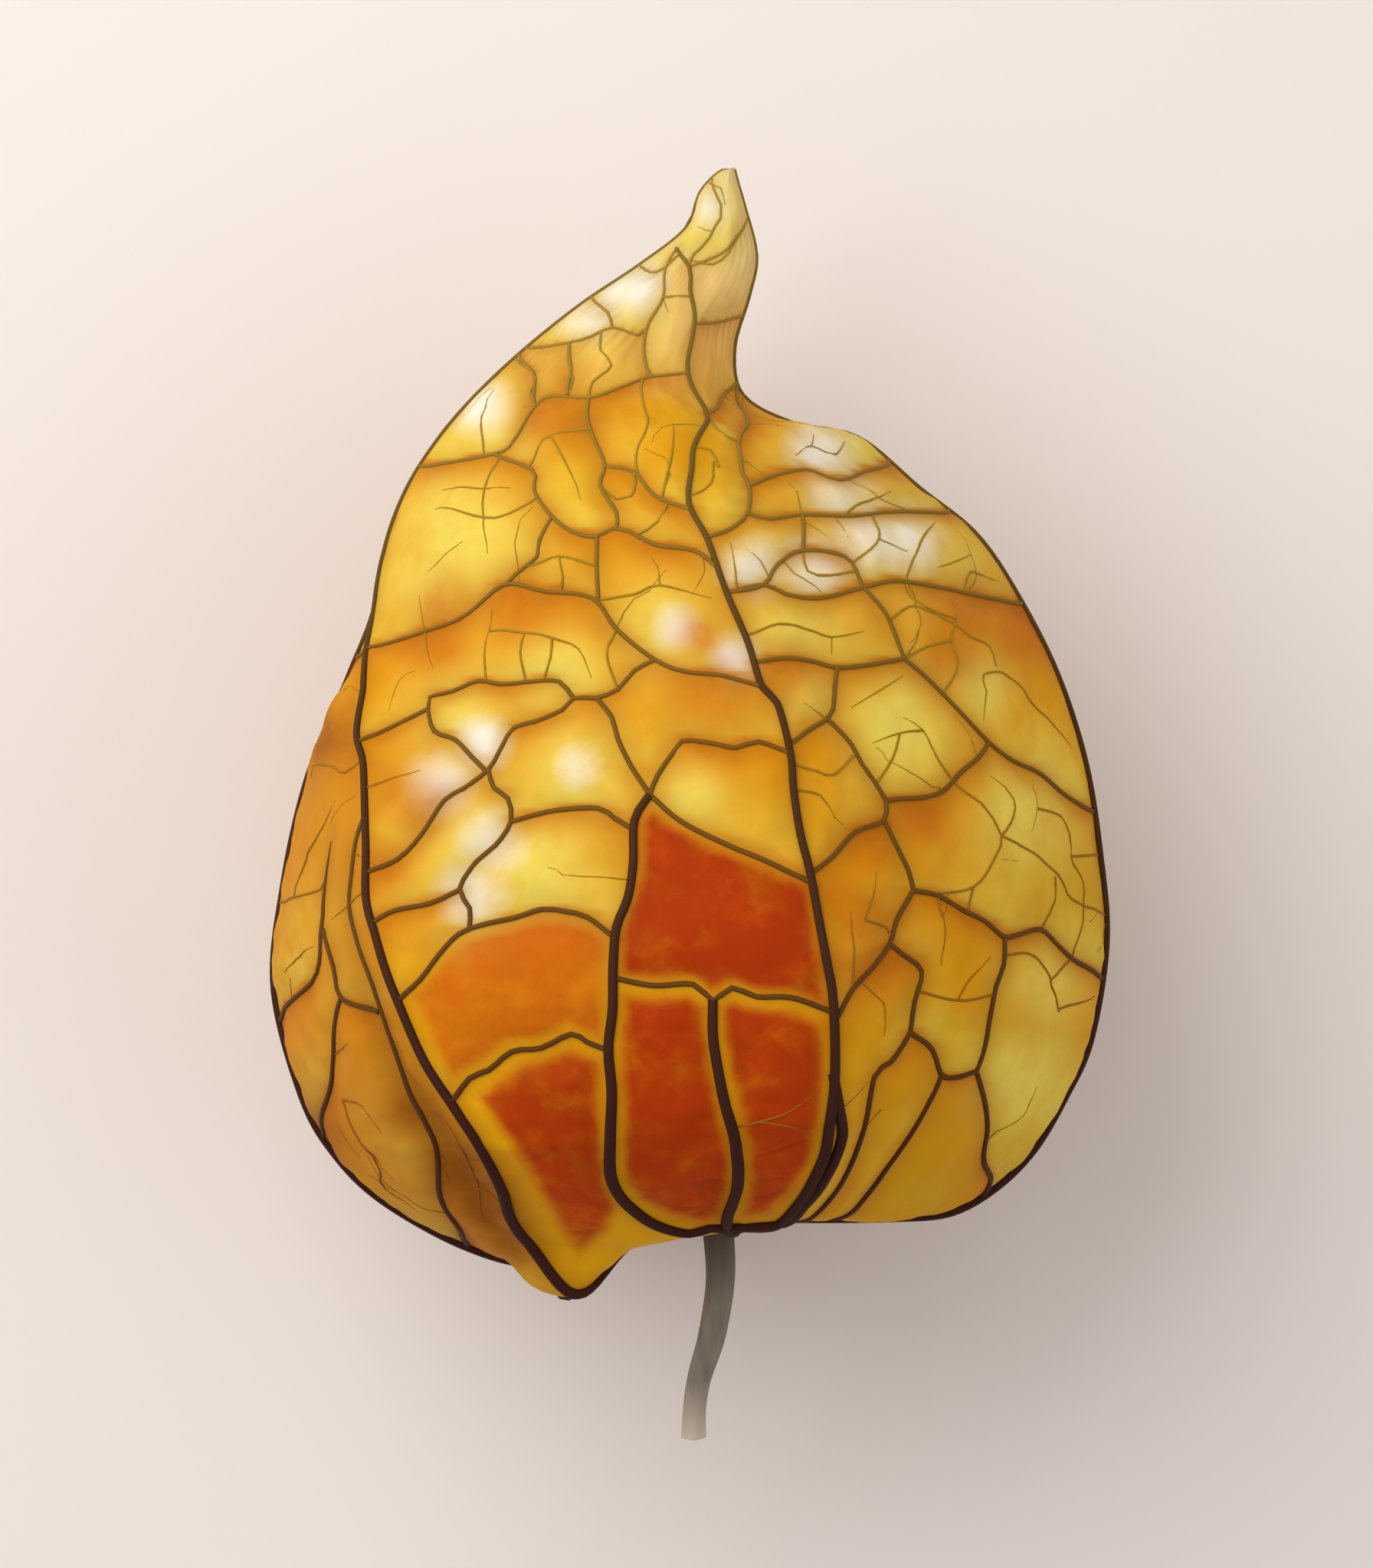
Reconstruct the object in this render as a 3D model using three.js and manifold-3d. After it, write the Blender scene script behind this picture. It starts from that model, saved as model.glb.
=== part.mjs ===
// A physalis berry in its closed papery husk, as picked, lying on its side with a stub of stem.
// Millimetres. +Y runs from the stem to the tip of the husk, +Z is up, and the husk rests on z = 0.
import * as THREE from "three";
import { mergeVertices } from "three/addons/utils/BufferGeometryUtils.js";
import Module from "manifold-3d";

const wasm = await Module();
wasm.setup();

// Driving sizes
const HUSK_LENGTH = 46; // from the hanging chin to the hooked tip
const HUSK_WALL = 0.8; // thicker than the real paper, which is about 0.1
const AXIS_HEIGHT = 15.2; // the husk's axis above the surface it lies on
const RIDGE_RISE = 0.06; // how far the five corners stand out, as a share of the radius
const RIDGE_SPREAD = 14; // degrees to where a corner has faded
const CHIN_DROP = 1.7; // how far the front left corner hangs below the husk's base
const CHIN_SPREAD = 12; // degrees
const RIB = { height: 0.5, root: 0.35, halfWidth: 0.85 };
const VEIN = { height: 0.36, root: 0.32, halfWidth: 0.62 };
const BERRY_RADIUS = 8.1;
const STEM_HOLE_RADIUS = 1.0;
const GAP = 0.3; // between neighbouring pieces
const FINEST_DETAIL = 0.02; // edges shorter than this are closed up
const WELD = 1e-3; // corners closer than this are one corner
const AROUND = 36; // points round the husk

// The photograph's frame, in pixels: it looks down on the husk, with the tip at the top.
const PHOTO_TIP_Y = 212;
const PHOTO_CHIN_Y = 1689;
const PHOTO_MIDDLE_X = 900;
const PHOTO_MIDDLE_Y = 1050;
const PIXEL = HUSK_LENGTH / (PHOTO_CHIN_Y - PHOTO_TIP_Y);
const fromPhoto = (x, y, z = AXIS_HEIGHT) =>
  new THREE.Vector3((x - PHOTO_MIDDLE_X) * PIXEL, (PHOTO_MIDDLE_Y - y) * PIXEL, z);

// The husk's outline from base to tip. Each row is a slice across it: left x, y, right x, y in pixels.
const OUTLINE = [
  [915, 1590, 965, 1588],
  [890, 1598, 990, 1592],
  [845, 1606, 1065, 1592],
  [780, 1622, 1165, 1590],
  [700, 1650, 1240, 1583],
  [606, 1627, 1300, 1550],
  [500, 1568, 1350, 1500],
  [437, 1508, 1392, 1430],
  [393, 1432, 1424, 1358],
  [356, 1290, 1444, 1235],
  [368, 1155, 1438, 1122],
  [396, 1025, 1421, 1000],
  [437, 918, 1386, 888],
  [480, 820, 1336, 787],
  [498, 722, 1278, 698],
  [527, 642, 1202, 635],
  [566, 578, 1122, 569],
  [612, 522, 1035, 549],
  [676, 460, 972, 514],
  [755, 396, 962, 455],
  [833, 343, 981, 388],
  [892, 296, 991, 334],
  [909, 252, 976, 270],
  [928, 228, 967, 238],
  [946, 215, 962, 217],
];
const LAST_ROW = OUTLINE.length - 1;
const leftEdge = new THREE.CatmullRomCurve3(OUTLINE.map(([x, y]) => fromPhoto(x, y)));
const rightEdge = new THREE.CatmullRomCurve3(OUTLINE.map(([, , x, y]) => fromPhoto(x, y)));

// The five corners: the angle round the husk at some rows. 0 is the right side and 90 the top.
const FRONT_LEFT_CORNER = [[3, 145], [5, 141], [7, 127], [9, 134], [12, 156], [14, 172], [23, 172]];
const CORNERS = [
  FRONT_LEFT_CORNER,
  [[3, 80], [6, 71], [9, 71], [13, 83], [15, 84], [18, 60], [23, 80]],
  [[3, 3], [23, 3]],
  [[3, 289], [23, 289]],
  [[3, 215], [12, 225], [23, 235]],
];
// Depth as a share of width, at some rows.
const DEPTHS = [[0, 0.9], [4, 0.87], [7, 0.95], [9, 0.93], [12, 0.92], [16, 0.96], [24, 1]];
const CHIN_ROW = 4;
const CHIN_ROWS = 0.75; // rows to where the chin has faded
const BOW = 1.2; // how strongly the low slices curve up from the chin to the stem
const BOW_ROWS = 2.4; // rows to where the curve has faded

// A value read between the rows where it is given.
function track(points, row) {
  if (row <= points[0][0]) return points[0][1];
  for (let i = 1; i < points.length; i++) {
    const [above, value] = points[i];
    const [below, before] = points[i - 1];
    if (row <= above) return before + ((value - before) * (row - below)) / (above - below);
  }
  return points[points.length - 1][1];
}

const degreesBetween = (a, b) => ((((a - b) % 360) + 540) % 360) - 180;
const hump = (away, spread) => Math.exp(-((away / spread) ** 2));

function sliceRadius(row, angle) {
  return CORNERS.reduce(
    (r, corner) => r + RIDGE_RISE * hump(degreesBetween(angle, track(corner, row)), RIDGE_SPREAD),
    1,
  );
}

const sideOfSlice = (row, angle) => sliceRadius(row, angle) * Math.cos(THREE.MathUtils.degToRad(angle));

// How far left and right a slice of radius 1 reaches, so that it can be fitted between its two edges.
const REACH_SAMPLES = 72;
const reachOfRow = new Map();
function sliceReach(row) {
  if (!reachOfRow.has(row)) {
    const angles = Array.from({ length: REACH_SAMPLES }, (_, i) => (i * 360) / REACH_SAMPLES);
    const sides = angles.map((angle) => sideOfSlice(row, angle));
    reachOfRow.set(row, [Math.min(...sides), Math.max(...sides)]);
  }
  return reachOfRow.get(row);
}

// A point of the husk's outer skin: row 0 is the base and the last row the tip.
function skinPoint(row, angle, chinDrop = CHIN_DROP) {
  const left = leftEdge.getPoint(row / LAST_ROW);
  const right = rightEdge.getPoint(row / LAST_ROW);
  const [least, most] = sliceReach(row);
  const across = THREE.MathUtils.clamp((sideOfSlice(row, angle) - least) / (most - least), 0, 1);
  const bow = 1 + BOW * hump(row - CHIN_ROW, BOW_ROWS);
  const halfDepth = (track(DEPTHS, row) * left.distanceTo(right)) / 2;
  const chin =
    chinDrop *
    hump(row - CHIN_ROW, CHIN_ROWS) *
    hump(degreesBetween(angle, track(FRONT_LEFT_CORNER, row)), CHIN_SPREAD);
  return new THREE.Vector3(
    left.x + (right.x - left.x) * across,
    left.y + (right.y - left.y) * (1 - (1 - across) ** bow) - chin,
    AXIS_HEIGHT + halfDepth * sliceRadius(row, angle) * Math.sin(THREE.MathUtils.degToRad(angle)),
  );
}

const NORMAL_ROWS = 0.2; // how far apart the points are that give the skin's slope
const NORMAL_DEGREES = 3;

function skinNormal(row, angle) {
  const low = Math.max(row - NORMAL_ROWS, 0);
  const high = Math.min(row + NORMAL_ROWS, LAST_ROW);
  const along = skinPoint(high, angle, 0).sub(skinPoint(low, angle, 0));
  const round = skinPoint(row, angle + NORMAL_DEGREES, 0).sub(skinPoint(row, angle - NORMAL_DEGREES, 0));
  return round.cross(along).normalize().negate();
}

// A closed solid through rings of points, with a fan over each end.
function loft(rings) {
  const count = rings[0].length;
  const positions = rings.flat();
  const index = [];
  for (let r = 0; r + 1 < rings.length; r++)
    for (let i = 0; i < count; i++) {
      const next = (i + 1) % count;
      const a = r * count + i;
      const b = r * count + next;
      index.push(a, b, a + count, b, b + count, a + count);
    }
  for (const [ring, start] of [[rings[0], 0], [rings[rings.length - 1], (rings.length - 1) * count]]) {
    const middle = ring.reduce((sum, p) => sum.add(p), new THREE.Vector3()).divideScalar(count);
    positions.push(middle);
    const hub = positions.length - 1;
    for (let i = 0; i < count; i++) {
      const a = start + i;
      const b = start + ((i + 1) % count);
      if (start === 0) index.push(hub, b, a);
      else index.push(hub, a, b);
    }
  }
  const geometry = new THREE.BufferGeometry().setFromPoints(positions);
  geometry.setIndex(index);
  return geometry;
}

function signedVolume(geometry) {
  const p = geometry.getAttribute("position");
  const [a, b, c] = [new THREE.Vector3(), new THREE.Vector3(), new THREE.Vector3()];
  let volume = 0;
  for (let i = 0; i < geometry.index.count; i += 3) {
    a.fromBufferAttribute(p, geometry.index.getX(i));
    b.fromBufferAttribute(p, geometry.index.getX(i + 1));
    c.fromBufferAttribute(p, geometry.index.getX(i + 2));
    volume += a.dot(b.cross(c)) / 6;
  }
  return volume;
}

function solid(geometry) {
  const bare = geometry.clone();
  bare.deleteAttribute("normal");
  bare.deleteAttribute("uv");
  const merged = mergeVertices(bare, WELD);
  const triVerts = new Uint32Array(merged.index.array);
  if (signedVolume(merged) < 0)
    for (let i = 0; i < triVerts.length; i += 3)
      [triVerts[i], triVerts[i + 1]] = [triVerts[i + 1], triVerts[i]];
  const vertProperties = new Float32Array(merged.getAttribute("position").array);
  return new wasm.Manifold(new wasm.Mesh({ numProp: 3, vertProperties, triVerts }));
}

function geometryOf(made) {
  const mesh = made.getMesh();
  const geometry = new THREE.BufferGeometry();
  geometry.setAttribute("position", new THREE.BufferAttribute(mesh.vertProperties, mesh.numProp));
  geometry.setIndex(new THREE.BufferAttribute(mesh.triVerts, 1));
  return geometry;
}

const ringOf = (row, place) =>
  Array.from({ length: AROUND }, (_, i) => place(row, (i * 360) / AROUND));

const countUp = (from, to) => Array.from({ length: to - from + 1 }, (_, i) => from + i);

// The hollow stops short of the base and of the thin tip, which is solid.
const HOLLOW_ROWS = [1, 2.5, 4.5, 6, 7.5, 9, 11, 13, 15, 16.5, 18];

function huskShell() {
  const outer = loft(countUp(0, LAST_ROW).map((row) => ringOf(row, (r, a) => skinPoint(r, a))));
  const inside = (row, angle) => {
    const point = skinPoint(row, angle, 0).addScaledVector(skinNormal(row, angle), -HUSK_WALL);
    point.z = Math.max(point.z, HUSK_WALL); // the wall is as thick over the flat spot it rests on
    return point;
  };
  const hollow = loft(HOLLOW_ROWS.map((row) => ringOf(row, inside)));
  return solid(outer).subtract(solid(hollow));
}

// Veins on the side that the photograph shows, as pixels along each one.
const FRONT_RIBS = [
  [[481, 812], [476, 886], [471, 960], [483, 1040], [484, 1105], [486, 1170], [500, 1221], [530, 1298],
    [560, 1375], [598, 1434], [635, 1494], [662, 1553], [690, 1612], [722, 1662], [757, 1687]],
  [[881, 323], [901, 355], [908, 425], [899, 478], [923, 543], [903, 618], [899, 664], [931, 744],
    [964, 824], [996, 904], [1028, 984], [1046, 1090], [1064, 1195], [1082, 1301], [1084, 1397],
    [1068, 1508], [1039, 1562], [1005, 1590], [958, 1594]],
  [[849, 1036], [830, 1069], [826, 1135], [807, 1204], [802, 1282], [797, 1360], [802, 1450],
    [806, 1541], [824, 1567], [858, 1590], [918, 1598]],
  [[929, 1297], [933, 1370], [946, 1430], [959, 1489], [961, 1540], [948, 1590]],
];
const FRONT_VEINS = [
  [[757, 1687], [824, 1626], [915, 1600]],
  [[806, 1271], [904, 1276], [929, 1297], [953, 1281], [1030, 1294], [1080, 1317]],
  [[849, 1036], [887, 1069], [971, 1108], [1055, 1148]],
  [[849, 1036], [814, 974], [780, 912]],
  [[780, 912], [854, 863]],
  [[780, 912], [750, 912], [673, 949], [641, 1002], [584, 1042], [555, 1086], [488, 1141]],
  [[481, 855], [543, 830], [605, 806], [658, 767], [715, 776], [772, 784], [854, 863], [922, 880],
    [990, 898]],
  [[750, 912], [731, 890], [626, 888], [563, 909], [569, 952], [597, 964], [637, 1004]],
  [[477, 962], [561, 924]],
  [[641, 1004], [666, 1040], [670, 1069], [605, 1154], [618, 1204]],
  [[605, 1156], [546, 1180], [488, 1204]],
  [[670, 1069], [782, 1053], [829, 1082]],
  [[534, 1292], [605, 1212], [672, 1198], [740, 1183], [804, 1212]],
  [[599, 1422], [673, 1363], [748, 1341], [797, 1363]],
  [[849, 1036], [888, 967], [957, 976], [988, 968], [1027, 988]],
  [[561, 612], [640, 594], [669, 576], [697, 530], [719, 516], [769, 519], [834, 505], [899, 491]],
  [[683, 455], [740, 440], [797, 426], [844, 430]],
  [[881, 323], [844, 430], [851, 491]],
  [[939, 234], [930, 296], [901, 345]],
  [[908, 429], [968, 411]],
  [[923, 543], [958, 498], [968, 568], [979, 637], [976, 673], [922, 709]],
  [[979, 637], [1054, 614], [1097, 626], [1153, 598]],
  [[976, 673], [1004, 680], [1083, 676], [1161, 672], [1240, 668]],
  [[1047, 674], [1048, 722]],
  [[947, 780], [997, 767], [1015, 741], [1048, 722], [1104, 730], [1126, 769]],
  [[997, 767], [1069, 784], [1169, 760], [1249, 774], [1329, 787]],
  [[1126, 769], [1154, 801], [1178, 861]],
  [[1178, 861], [1234, 914], [1290, 968], [1359, 1009], [1418, 1064]],
  [[980, 869], [1022, 861], [1091, 873], [1178, 861]],
  [[1091, 873], [1086, 926], [1028, 978]],
  [[1078, 938], [1116, 990], [1154, 1043]],
  [[1290, 968], [1229, 1030], [1154, 1043], [1151, 1068], [1114, 1083], [1056, 1140]],
  [[1151, 1068], [1189, 1158], [1158, 1225], [1120, 1272], [1083, 1320]],
  [[1189, 1158], [1221, 1164], [1309, 1219], [1359, 1211], [1438, 1276]],
  [[1309, 1219], [1290, 1306], [1272, 1394]],
  [[1158, 1225], [1200, 1262], [1185, 1340], [1139, 1397], [1123, 1458], [1107, 1518], [1058, 1588]],
  [[1185, 1340], [1214, 1363], [1226, 1397], [1272, 1394], [1289, 1470], [1275, 1563]],
  [[1226, 1397], [1190, 1470], [1148, 1529], [1105, 1588]],
  [[644, 594], [694, 616], [697, 644], [747, 698], [776, 705], [804, 694], [867, 714], [930, 735]],
  [[719, 680], [701, 730], [660, 767]],
  [[779, 705], [781, 787]],
  [[769, 519], [772, 566], [789, 609], [783, 637], [804, 694]],
  [[789, 612], [826, 619], [854, 651], [899, 669]],
  [[466, 1065], [456, 1179], [479, 1267], [502, 1355], [536, 1446], [571, 1536], [618, 1626]],
  [[433, 1095], [421, 1186], [409, 1276], [370, 1332]],
  [[422, 1210], [445, 1299], [438, 1392], [430, 1485]],
  [[445, 1299], [487, 1318]],
];

// The skin's row and angle under a pixel of the photograph: the best of a coarse grid, then of ever
// smaller steps round it.
const FRONT_ANGLES = countUp(-2, 38).map((i) => i * 5);
const FRONT_ROWS = countUp(0, LAST_ROW * 2).map((i) => i / 2);
const STEPS_ROUND = [[-1, 0], [1, 0], [0, -1], [0, 1], [-1, -1], [1, 1], [-1, 1], [1, -1]];
const FIRST_STEP = { rows: 0.25, degrees: 2.5 };
const LAST_STEP = 0.05; // as a share of the first
function skinUnder([x, y]) {
  const target = fromPhoto(x, y);
  const miss = (row, angle) => {
    const p = skinPoint(row, angle);
    return Math.hypot(p.x - target.x, p.y - target.y);
  };
  let best = { row: 0, angle: 0, miss: Infinity };
  const keep = (row, angle) => {
    const off = miss(row, angle);
    if (off < best.miss) best = { row, angle, miss: off };
  };
  for (const row of FRONT_ROWS) for (const angle of FRONT_ANGLES) keep(row, angle);
  for (let step = 1; step > LAST_STEP; step /= 2) {
    const { row, angle } = best;
    for (const [rows, degrees] of STEPS_ROUND)
      keep(
        THREE.MathUtils.clamp(row + rows * step * FIRST_STEP.rows, 0, LAST_ROW),
        angle + degrees * step * FIRST_STEP.degrees,
      );
  }
  return best;
}

// The far side's ribs run from base to tip, and a ladder of bowed veins joins each to the next.
const FAR_RIBS = [3, -35, -71, -107, -143, -176];
const FAR_RIB_ROWS = [2, 3.5, 5, 6, 7, 8, 9, 11, 13, 15, 16, 17, 18, 20];
const RUNG_ROWS = [4.6, 6.5, 8.2, 9.5, 11, 12.6, 14.4, 16.6];
const SEEDS_PER_GAP = 31;
const SEED_OFFSETS = { end: 500, middle: 900, share: 70 };
const RUNG_SCATTER = 0.7; // rows that a rung's ends stray by
const RUNG_BOW = 0.35; // rows that a rung's middle hangs towards the base
const MIDDLE_SCATTER = 0.5;
const SHARE_SCATTER = 0.3;
const RIB_WOBBLE = { degrees: 3, perRow: 0.7, perRib: 2 };

// A fixed scatter between -0.5 and 0.5.
const shuffle = (n) => {
  const mixed = Math.sin(n * 12.9898) * 43758.5453;
  return mixed - Math.floor(mixed) - 0.5;
};
const farRibAngle = (rib, row) =>
  FAR_RIBS[rib] + RIB_WOBBLE.degrees * Math.sin(row * RIB_WOBBLE.perRow + rib * RIB_WOBBLE.perRib);

function farVeins() {
  const ribs = FAR_RIBS.map((_, rib) =>
    FAR_RIB_ROWS.map((row) => ({ row, angle: farRibAngle(rib, row) })),
  );
  const rungs = [];
  for (let gap = 0; gap + 1 < FAR_RIBS.length; gap++) {
    const middles = [];
    RUNG_ROWS.forEach((base, i) => {
      const seed = gap * SEEDS_PER_GAP + i;
      const start = base + RUNG_SCATTER * shuffle(seed);
      const end = base + RUNG_SCATTER * shuffle(seed + SEED_OFFSETS.end);
      const middle = (start + end) / 2 - RUNG_BOW + MIDDLE_SCATTER * shuffle(seed + SEED_OFFSETS.middle);
      const share = 0.5 + SHARE_SCATTER * shuffle(seed + SEED_OFFSETS.share);
      const from = farRibAngle(gap, start);
      const to = farRibAngle(gap + 1, end);
      const bend = { row: middle, angle: from + (to - from) * share };
      middles.push(bend);
      rungs.push([{ row: start, angle: from }, bend, { row: end, angle: to }]);
    });
    for (let i = gap % 2; i + 1 < middles.length; i += 2) rungs.push([middles[i], middles[i + 1]]);
  }
  return { ribs, rungs };
}

// A raised vein: a three-sided ridge that follows the skin, its root sunk into the wall.
// No two veins are quite the same size, so that their edges don't coincide where they meet.
const VEIN_SCATTER = 0.2;
function vein(places, size, number) {
  const growth = 1 + VEIN_SCATTER * shuffle(number);
  const points = places.map(({ row, angle }) => skinPoint(row, angle));
  const rings = places.map(({ row, angle }, i) => {
    const out = skinNormal(row, angle);
    const ahead = points[Math.min(i + 1, points.length - 1)].clone();
    const along = ahead.sub(points[Math.max(i - 1, 0)]).normalize();
    const side = along.cross(out).normalize();
    const at = (up, sideways) =>
      points[i].clone().addScaledVector(out, up).addScaledVector(side, sideways);
    const foot = -size.root * growth;
    const halfWidth = size.halfWidth * growth;
    return [at(size.height * growth, 0), at(foot, halfWidth), at(foot, -halfWidth)];
  });
  return solid(loft(rings));
}

const STEM_ROUTE = [[934, 1542], [936, 1570], [938, 1607], [940, 1671], [929, 1743], [912, 1800], [906, 1840],
  [905, 1878]];
const STEM_RADII = [1, 0.6, 0.62, 0.57, 0.55, 0.48, 0.46, 0.5];
const STEM_DROOP = 1.4; // how far the cut end lies below the husk's axis
const STEM_SIDES = 12;
const STEM_RINGS_PER_POINT = 3;

function stemSolid() {
  const curve = new THREE.CatmullRomCurve3(
    STEM_ROUTE.map(([x, y], i) =>
      fromPhoto(x, y, AXIS_HEIGHT - STEM_DROOP * (i / (STEM_ROUTE.length - 1)) ** 2),
    ),
  );
  const steps = STEM_RINGS_PER_POINT * (STEM_ROUTE.length - 1);
  const rings = countUp(0, steps).map((i) => {
    const t = i / steps;
    const along = curve.getTangent(t);
    const side = new THREE.Vector3(0, 0, 1).cross(along).normalize();
    const up = along.clone().cross(side);
    const spot = t * (STEM_RADII.length - 1);
    const radius = track(STEM_RADII.map((r, k) => [k, r]), spot);
    return Array.from({ length: STEM_SIDES }, (_, k) => {
      const turn = (k * 2 * Math.PI) / STEM_SIDES;
      return curve
        .getPoint(t)
        .addScaledVector(side, radius * Math.cos(turn))
        .addScaledVector(up, radius * Math.sin(turn));
    });
  });
  return solid(loft(rings));
}

// The berry: a slightly flattened ball with a shallow dimple at its free end.
const BERRY_FLATTENING = 0.97;
const BERRY_PROFILE_STEPS = 16;
const BERRY_SIDES = 28;
const DIMPLE_DEPTH = 0.35;
const DIMPLE_SPREAD = 0.3; // radians
const berrySeat = fromPhoto(STEM_ROUTE[0][0], STEM_ROUTE[0][1]);
const BERRY_LEAN = THREE.MathUtils.degToRad(13); // towards the left, from the stem

function berrySolid() {
  const profile = countUp(0, BERRY_PROFILE_STEPS).map((i) => {
    const turn = (i / BERRY_PROFILE_STEPS) * Math.PI;
    const dimple = DIMPLE_DEPTH * hump(Math.PI - turn, DIMPLE_SPREAD);
    const radius = i === 0 || i === BERRY_PROFILE_STEPS ? 0 : BERRY_RADIUS * Math.sin(turn);
    return new THREE.Vector2(radius, -BERRY_FLATTENING * BERRY_RADIUS * Math.cos(turn) - dimple);
  });
  const geometry = new THREE.LatheGeometry(profile, BERRY_SIDES);
  geometry.translate(0, GAP + BERRY_FLATTENING * BERRY_RADIUS, 0);
  geometry.rotateZ(BERRY_LEAN);
  geometry.translate(berrySeat.x, berrySeat.y, berrySeat.z);
  return solid(geometry);
}

// Slivers left by the joins are closed up. Only the body itself is kept: pockets that crossing veins
// seal are filled, and loose scraps go.
function bodyOf(made) {
  const biggest = (most, body) => (body.volume() > most.volume() ? body : most);
  const tidied = solid(geometryOf(made.simplify(FINEST_DETAIL))).simplify(FINEST_DETAIL);
  return tidied.decompose().reduce(biggest);
}

const HOLE_DEPTH = 6; // through the base, where the stem comes in
const HOLE_SIDES = 16;
const HOLE_MIDDLE = fromPhoto(938, 1590);
const FLOOR_BLOCK = { side: 80, depth: 10 }; // what lies below it is cut off flat

function huskSolid() {
  const far = farVeins();
  const ribs = [...FRONT_RIBS.map((pixels) => pixels.map(skinUnder)), ...far.ribs];
  const veins = [...FRONT_VEINS.map((pixels) => pixels.map(skinUnder)), ...far.rungs];
  const netted = [
    ...ribs.map((places, i) => vein(places, RIB, i)),
    ...veins.map((places, i) => vein(places, VEIN, i + ribs.length)),
  ];
  const hole = new THREE.CylinderGeometry(STEM_HOLE_RADIUS, STEM_HOLE_RADIUS, HOLE_DEPTH, HOLE_SIDES);
  hole.translate(HOLE_MIDDLE.x, HOLE_MIDDLE.y, HOLE_MIDDLE.z);
  const below = new THREE.BoxGeometry(FLOOR_BLOCK.side, FLOOR_BLOCK.side, FLOOR_BLOCK.depth);
  below.translate(0, 0, -FLOOR_BLOCK.depth / 2);
  return bodyOf(wasm.Manifold.union([huskShell(), ...netted]).subtract(solid(hole))).subtract(solid(below));
}

const part = new THREE.Group();
function addPiece(name, made, material) {
  const mesh = new THREE.Mesh(geometryOf(made), new THREE.MeshStandardMaterial(material));
  mesh.name = name;
  part.add(mesh);
}
addPiece("husk", huskSolid(), { color: 0xe2a92c, roughness: 0.75, metalness: 0 });
addPiece("berry", berrySolid(), { color: 0xd0560e, roughness: 0.35, metalness: 0 });
addPiece("stem", stemSolid(), { color: 0x6f685a, roughness: 0.85, metalness: 0 });

export default part;
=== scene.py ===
# A ripe physalis in its dry papery husk, lying on its side on a pale surface and seen from above.
# Metres. +Y runs from the stem to the tip of the husk, +Z is up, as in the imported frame.
import math
import random

import bpy
import numpy as np
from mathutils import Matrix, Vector, kdtree, noise


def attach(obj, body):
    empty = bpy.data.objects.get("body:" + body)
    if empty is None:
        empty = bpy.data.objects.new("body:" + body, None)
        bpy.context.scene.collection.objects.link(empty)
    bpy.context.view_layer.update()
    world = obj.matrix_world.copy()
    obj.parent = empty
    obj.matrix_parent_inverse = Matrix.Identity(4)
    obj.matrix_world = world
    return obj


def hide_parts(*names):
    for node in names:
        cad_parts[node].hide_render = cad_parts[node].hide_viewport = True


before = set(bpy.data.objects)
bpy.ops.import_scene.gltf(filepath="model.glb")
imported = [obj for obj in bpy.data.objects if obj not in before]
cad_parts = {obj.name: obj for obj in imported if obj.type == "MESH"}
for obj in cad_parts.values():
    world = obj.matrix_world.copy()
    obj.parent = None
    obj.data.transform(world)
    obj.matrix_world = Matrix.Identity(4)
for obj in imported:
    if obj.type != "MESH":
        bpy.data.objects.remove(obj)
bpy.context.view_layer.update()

bpy.ops.object.select_all(action="DESELECT")

# Driving sizes, as in the part's own source
MM = 0.001
HUSK_LENGTH = 46 * MM  # from the hanging chin to the hooked tip
AXIS_HEIGHT = 15.2 * MM
RIDGE_RISE = 0.06
RIDGE_SPREAD = 14  # degrees
CHIN_DROP = 1.7 * MM
CHIN_SPREAD = 12  # degrees
CHIN_ROW = 4
CHIN_ROWS = 0.75
BERRY_RADIUS = 8.1 * MM
BERRY_FLATTENING = 0.97
BERRY_LEAN = math.radians(13)
STEM_DROOP = 1.4 * MM
GAP = 0.3 * MM

# The photograph's frame, in pixels
PHOTO_WIDTH = 1792
PHOTO_HEIGHT = 2047
PHOTO_TIP_Y = 212
PHOTO_CHIN_Y = 1689
PHOTO_MIDDLE_X = 900
PHOTO_MIDDLE_Y = 1050
PIXEL = HUSK_LENGTH / (PHOTO_CHIN_Y - PHOTO_TIP_Y)

# The husk's outline from base to tip: left x, y, right x, y in pixels
OUTLINE = np.array([
    (915, 1590, 965, 1588),
    (890, 1598, 990, 1592),
    (845, 1606, 1065, 1592),
    (780, 1622, 1165, 1590),
    (700, 1650, 1240, 1583),
    (606, 1627, 1300, 1550),
    (500, 1568, 1350, 1500),
    (437, 1508, 1392, 1430),
    (393, 1432, 1424, 1358),
    (356, 1290, 1444, 1235),
    (368, 1155, 1438, 1122),
    (396, 1025, 1421, 1000),
    (437, 918, 1386, 888),
    (480, 820, 1336, 787),
    (498, 722, 1278, 698),
    (527, 642, 1202, 635),
    (566, 578, 1122, 569),
    (612, 522, 1035, 549),
    (676, 460, 972, 514),
    (755, 396, 962, 455),
    (833, 343, 981, 388),
    (892, 296, 991, 334),
    (909, 252, 976, 270),
    (928, 228, 967, 238),
    (946, 215, 962, 217),
], float)
LAST_ROW = len(OUTLINE) - 1

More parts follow.
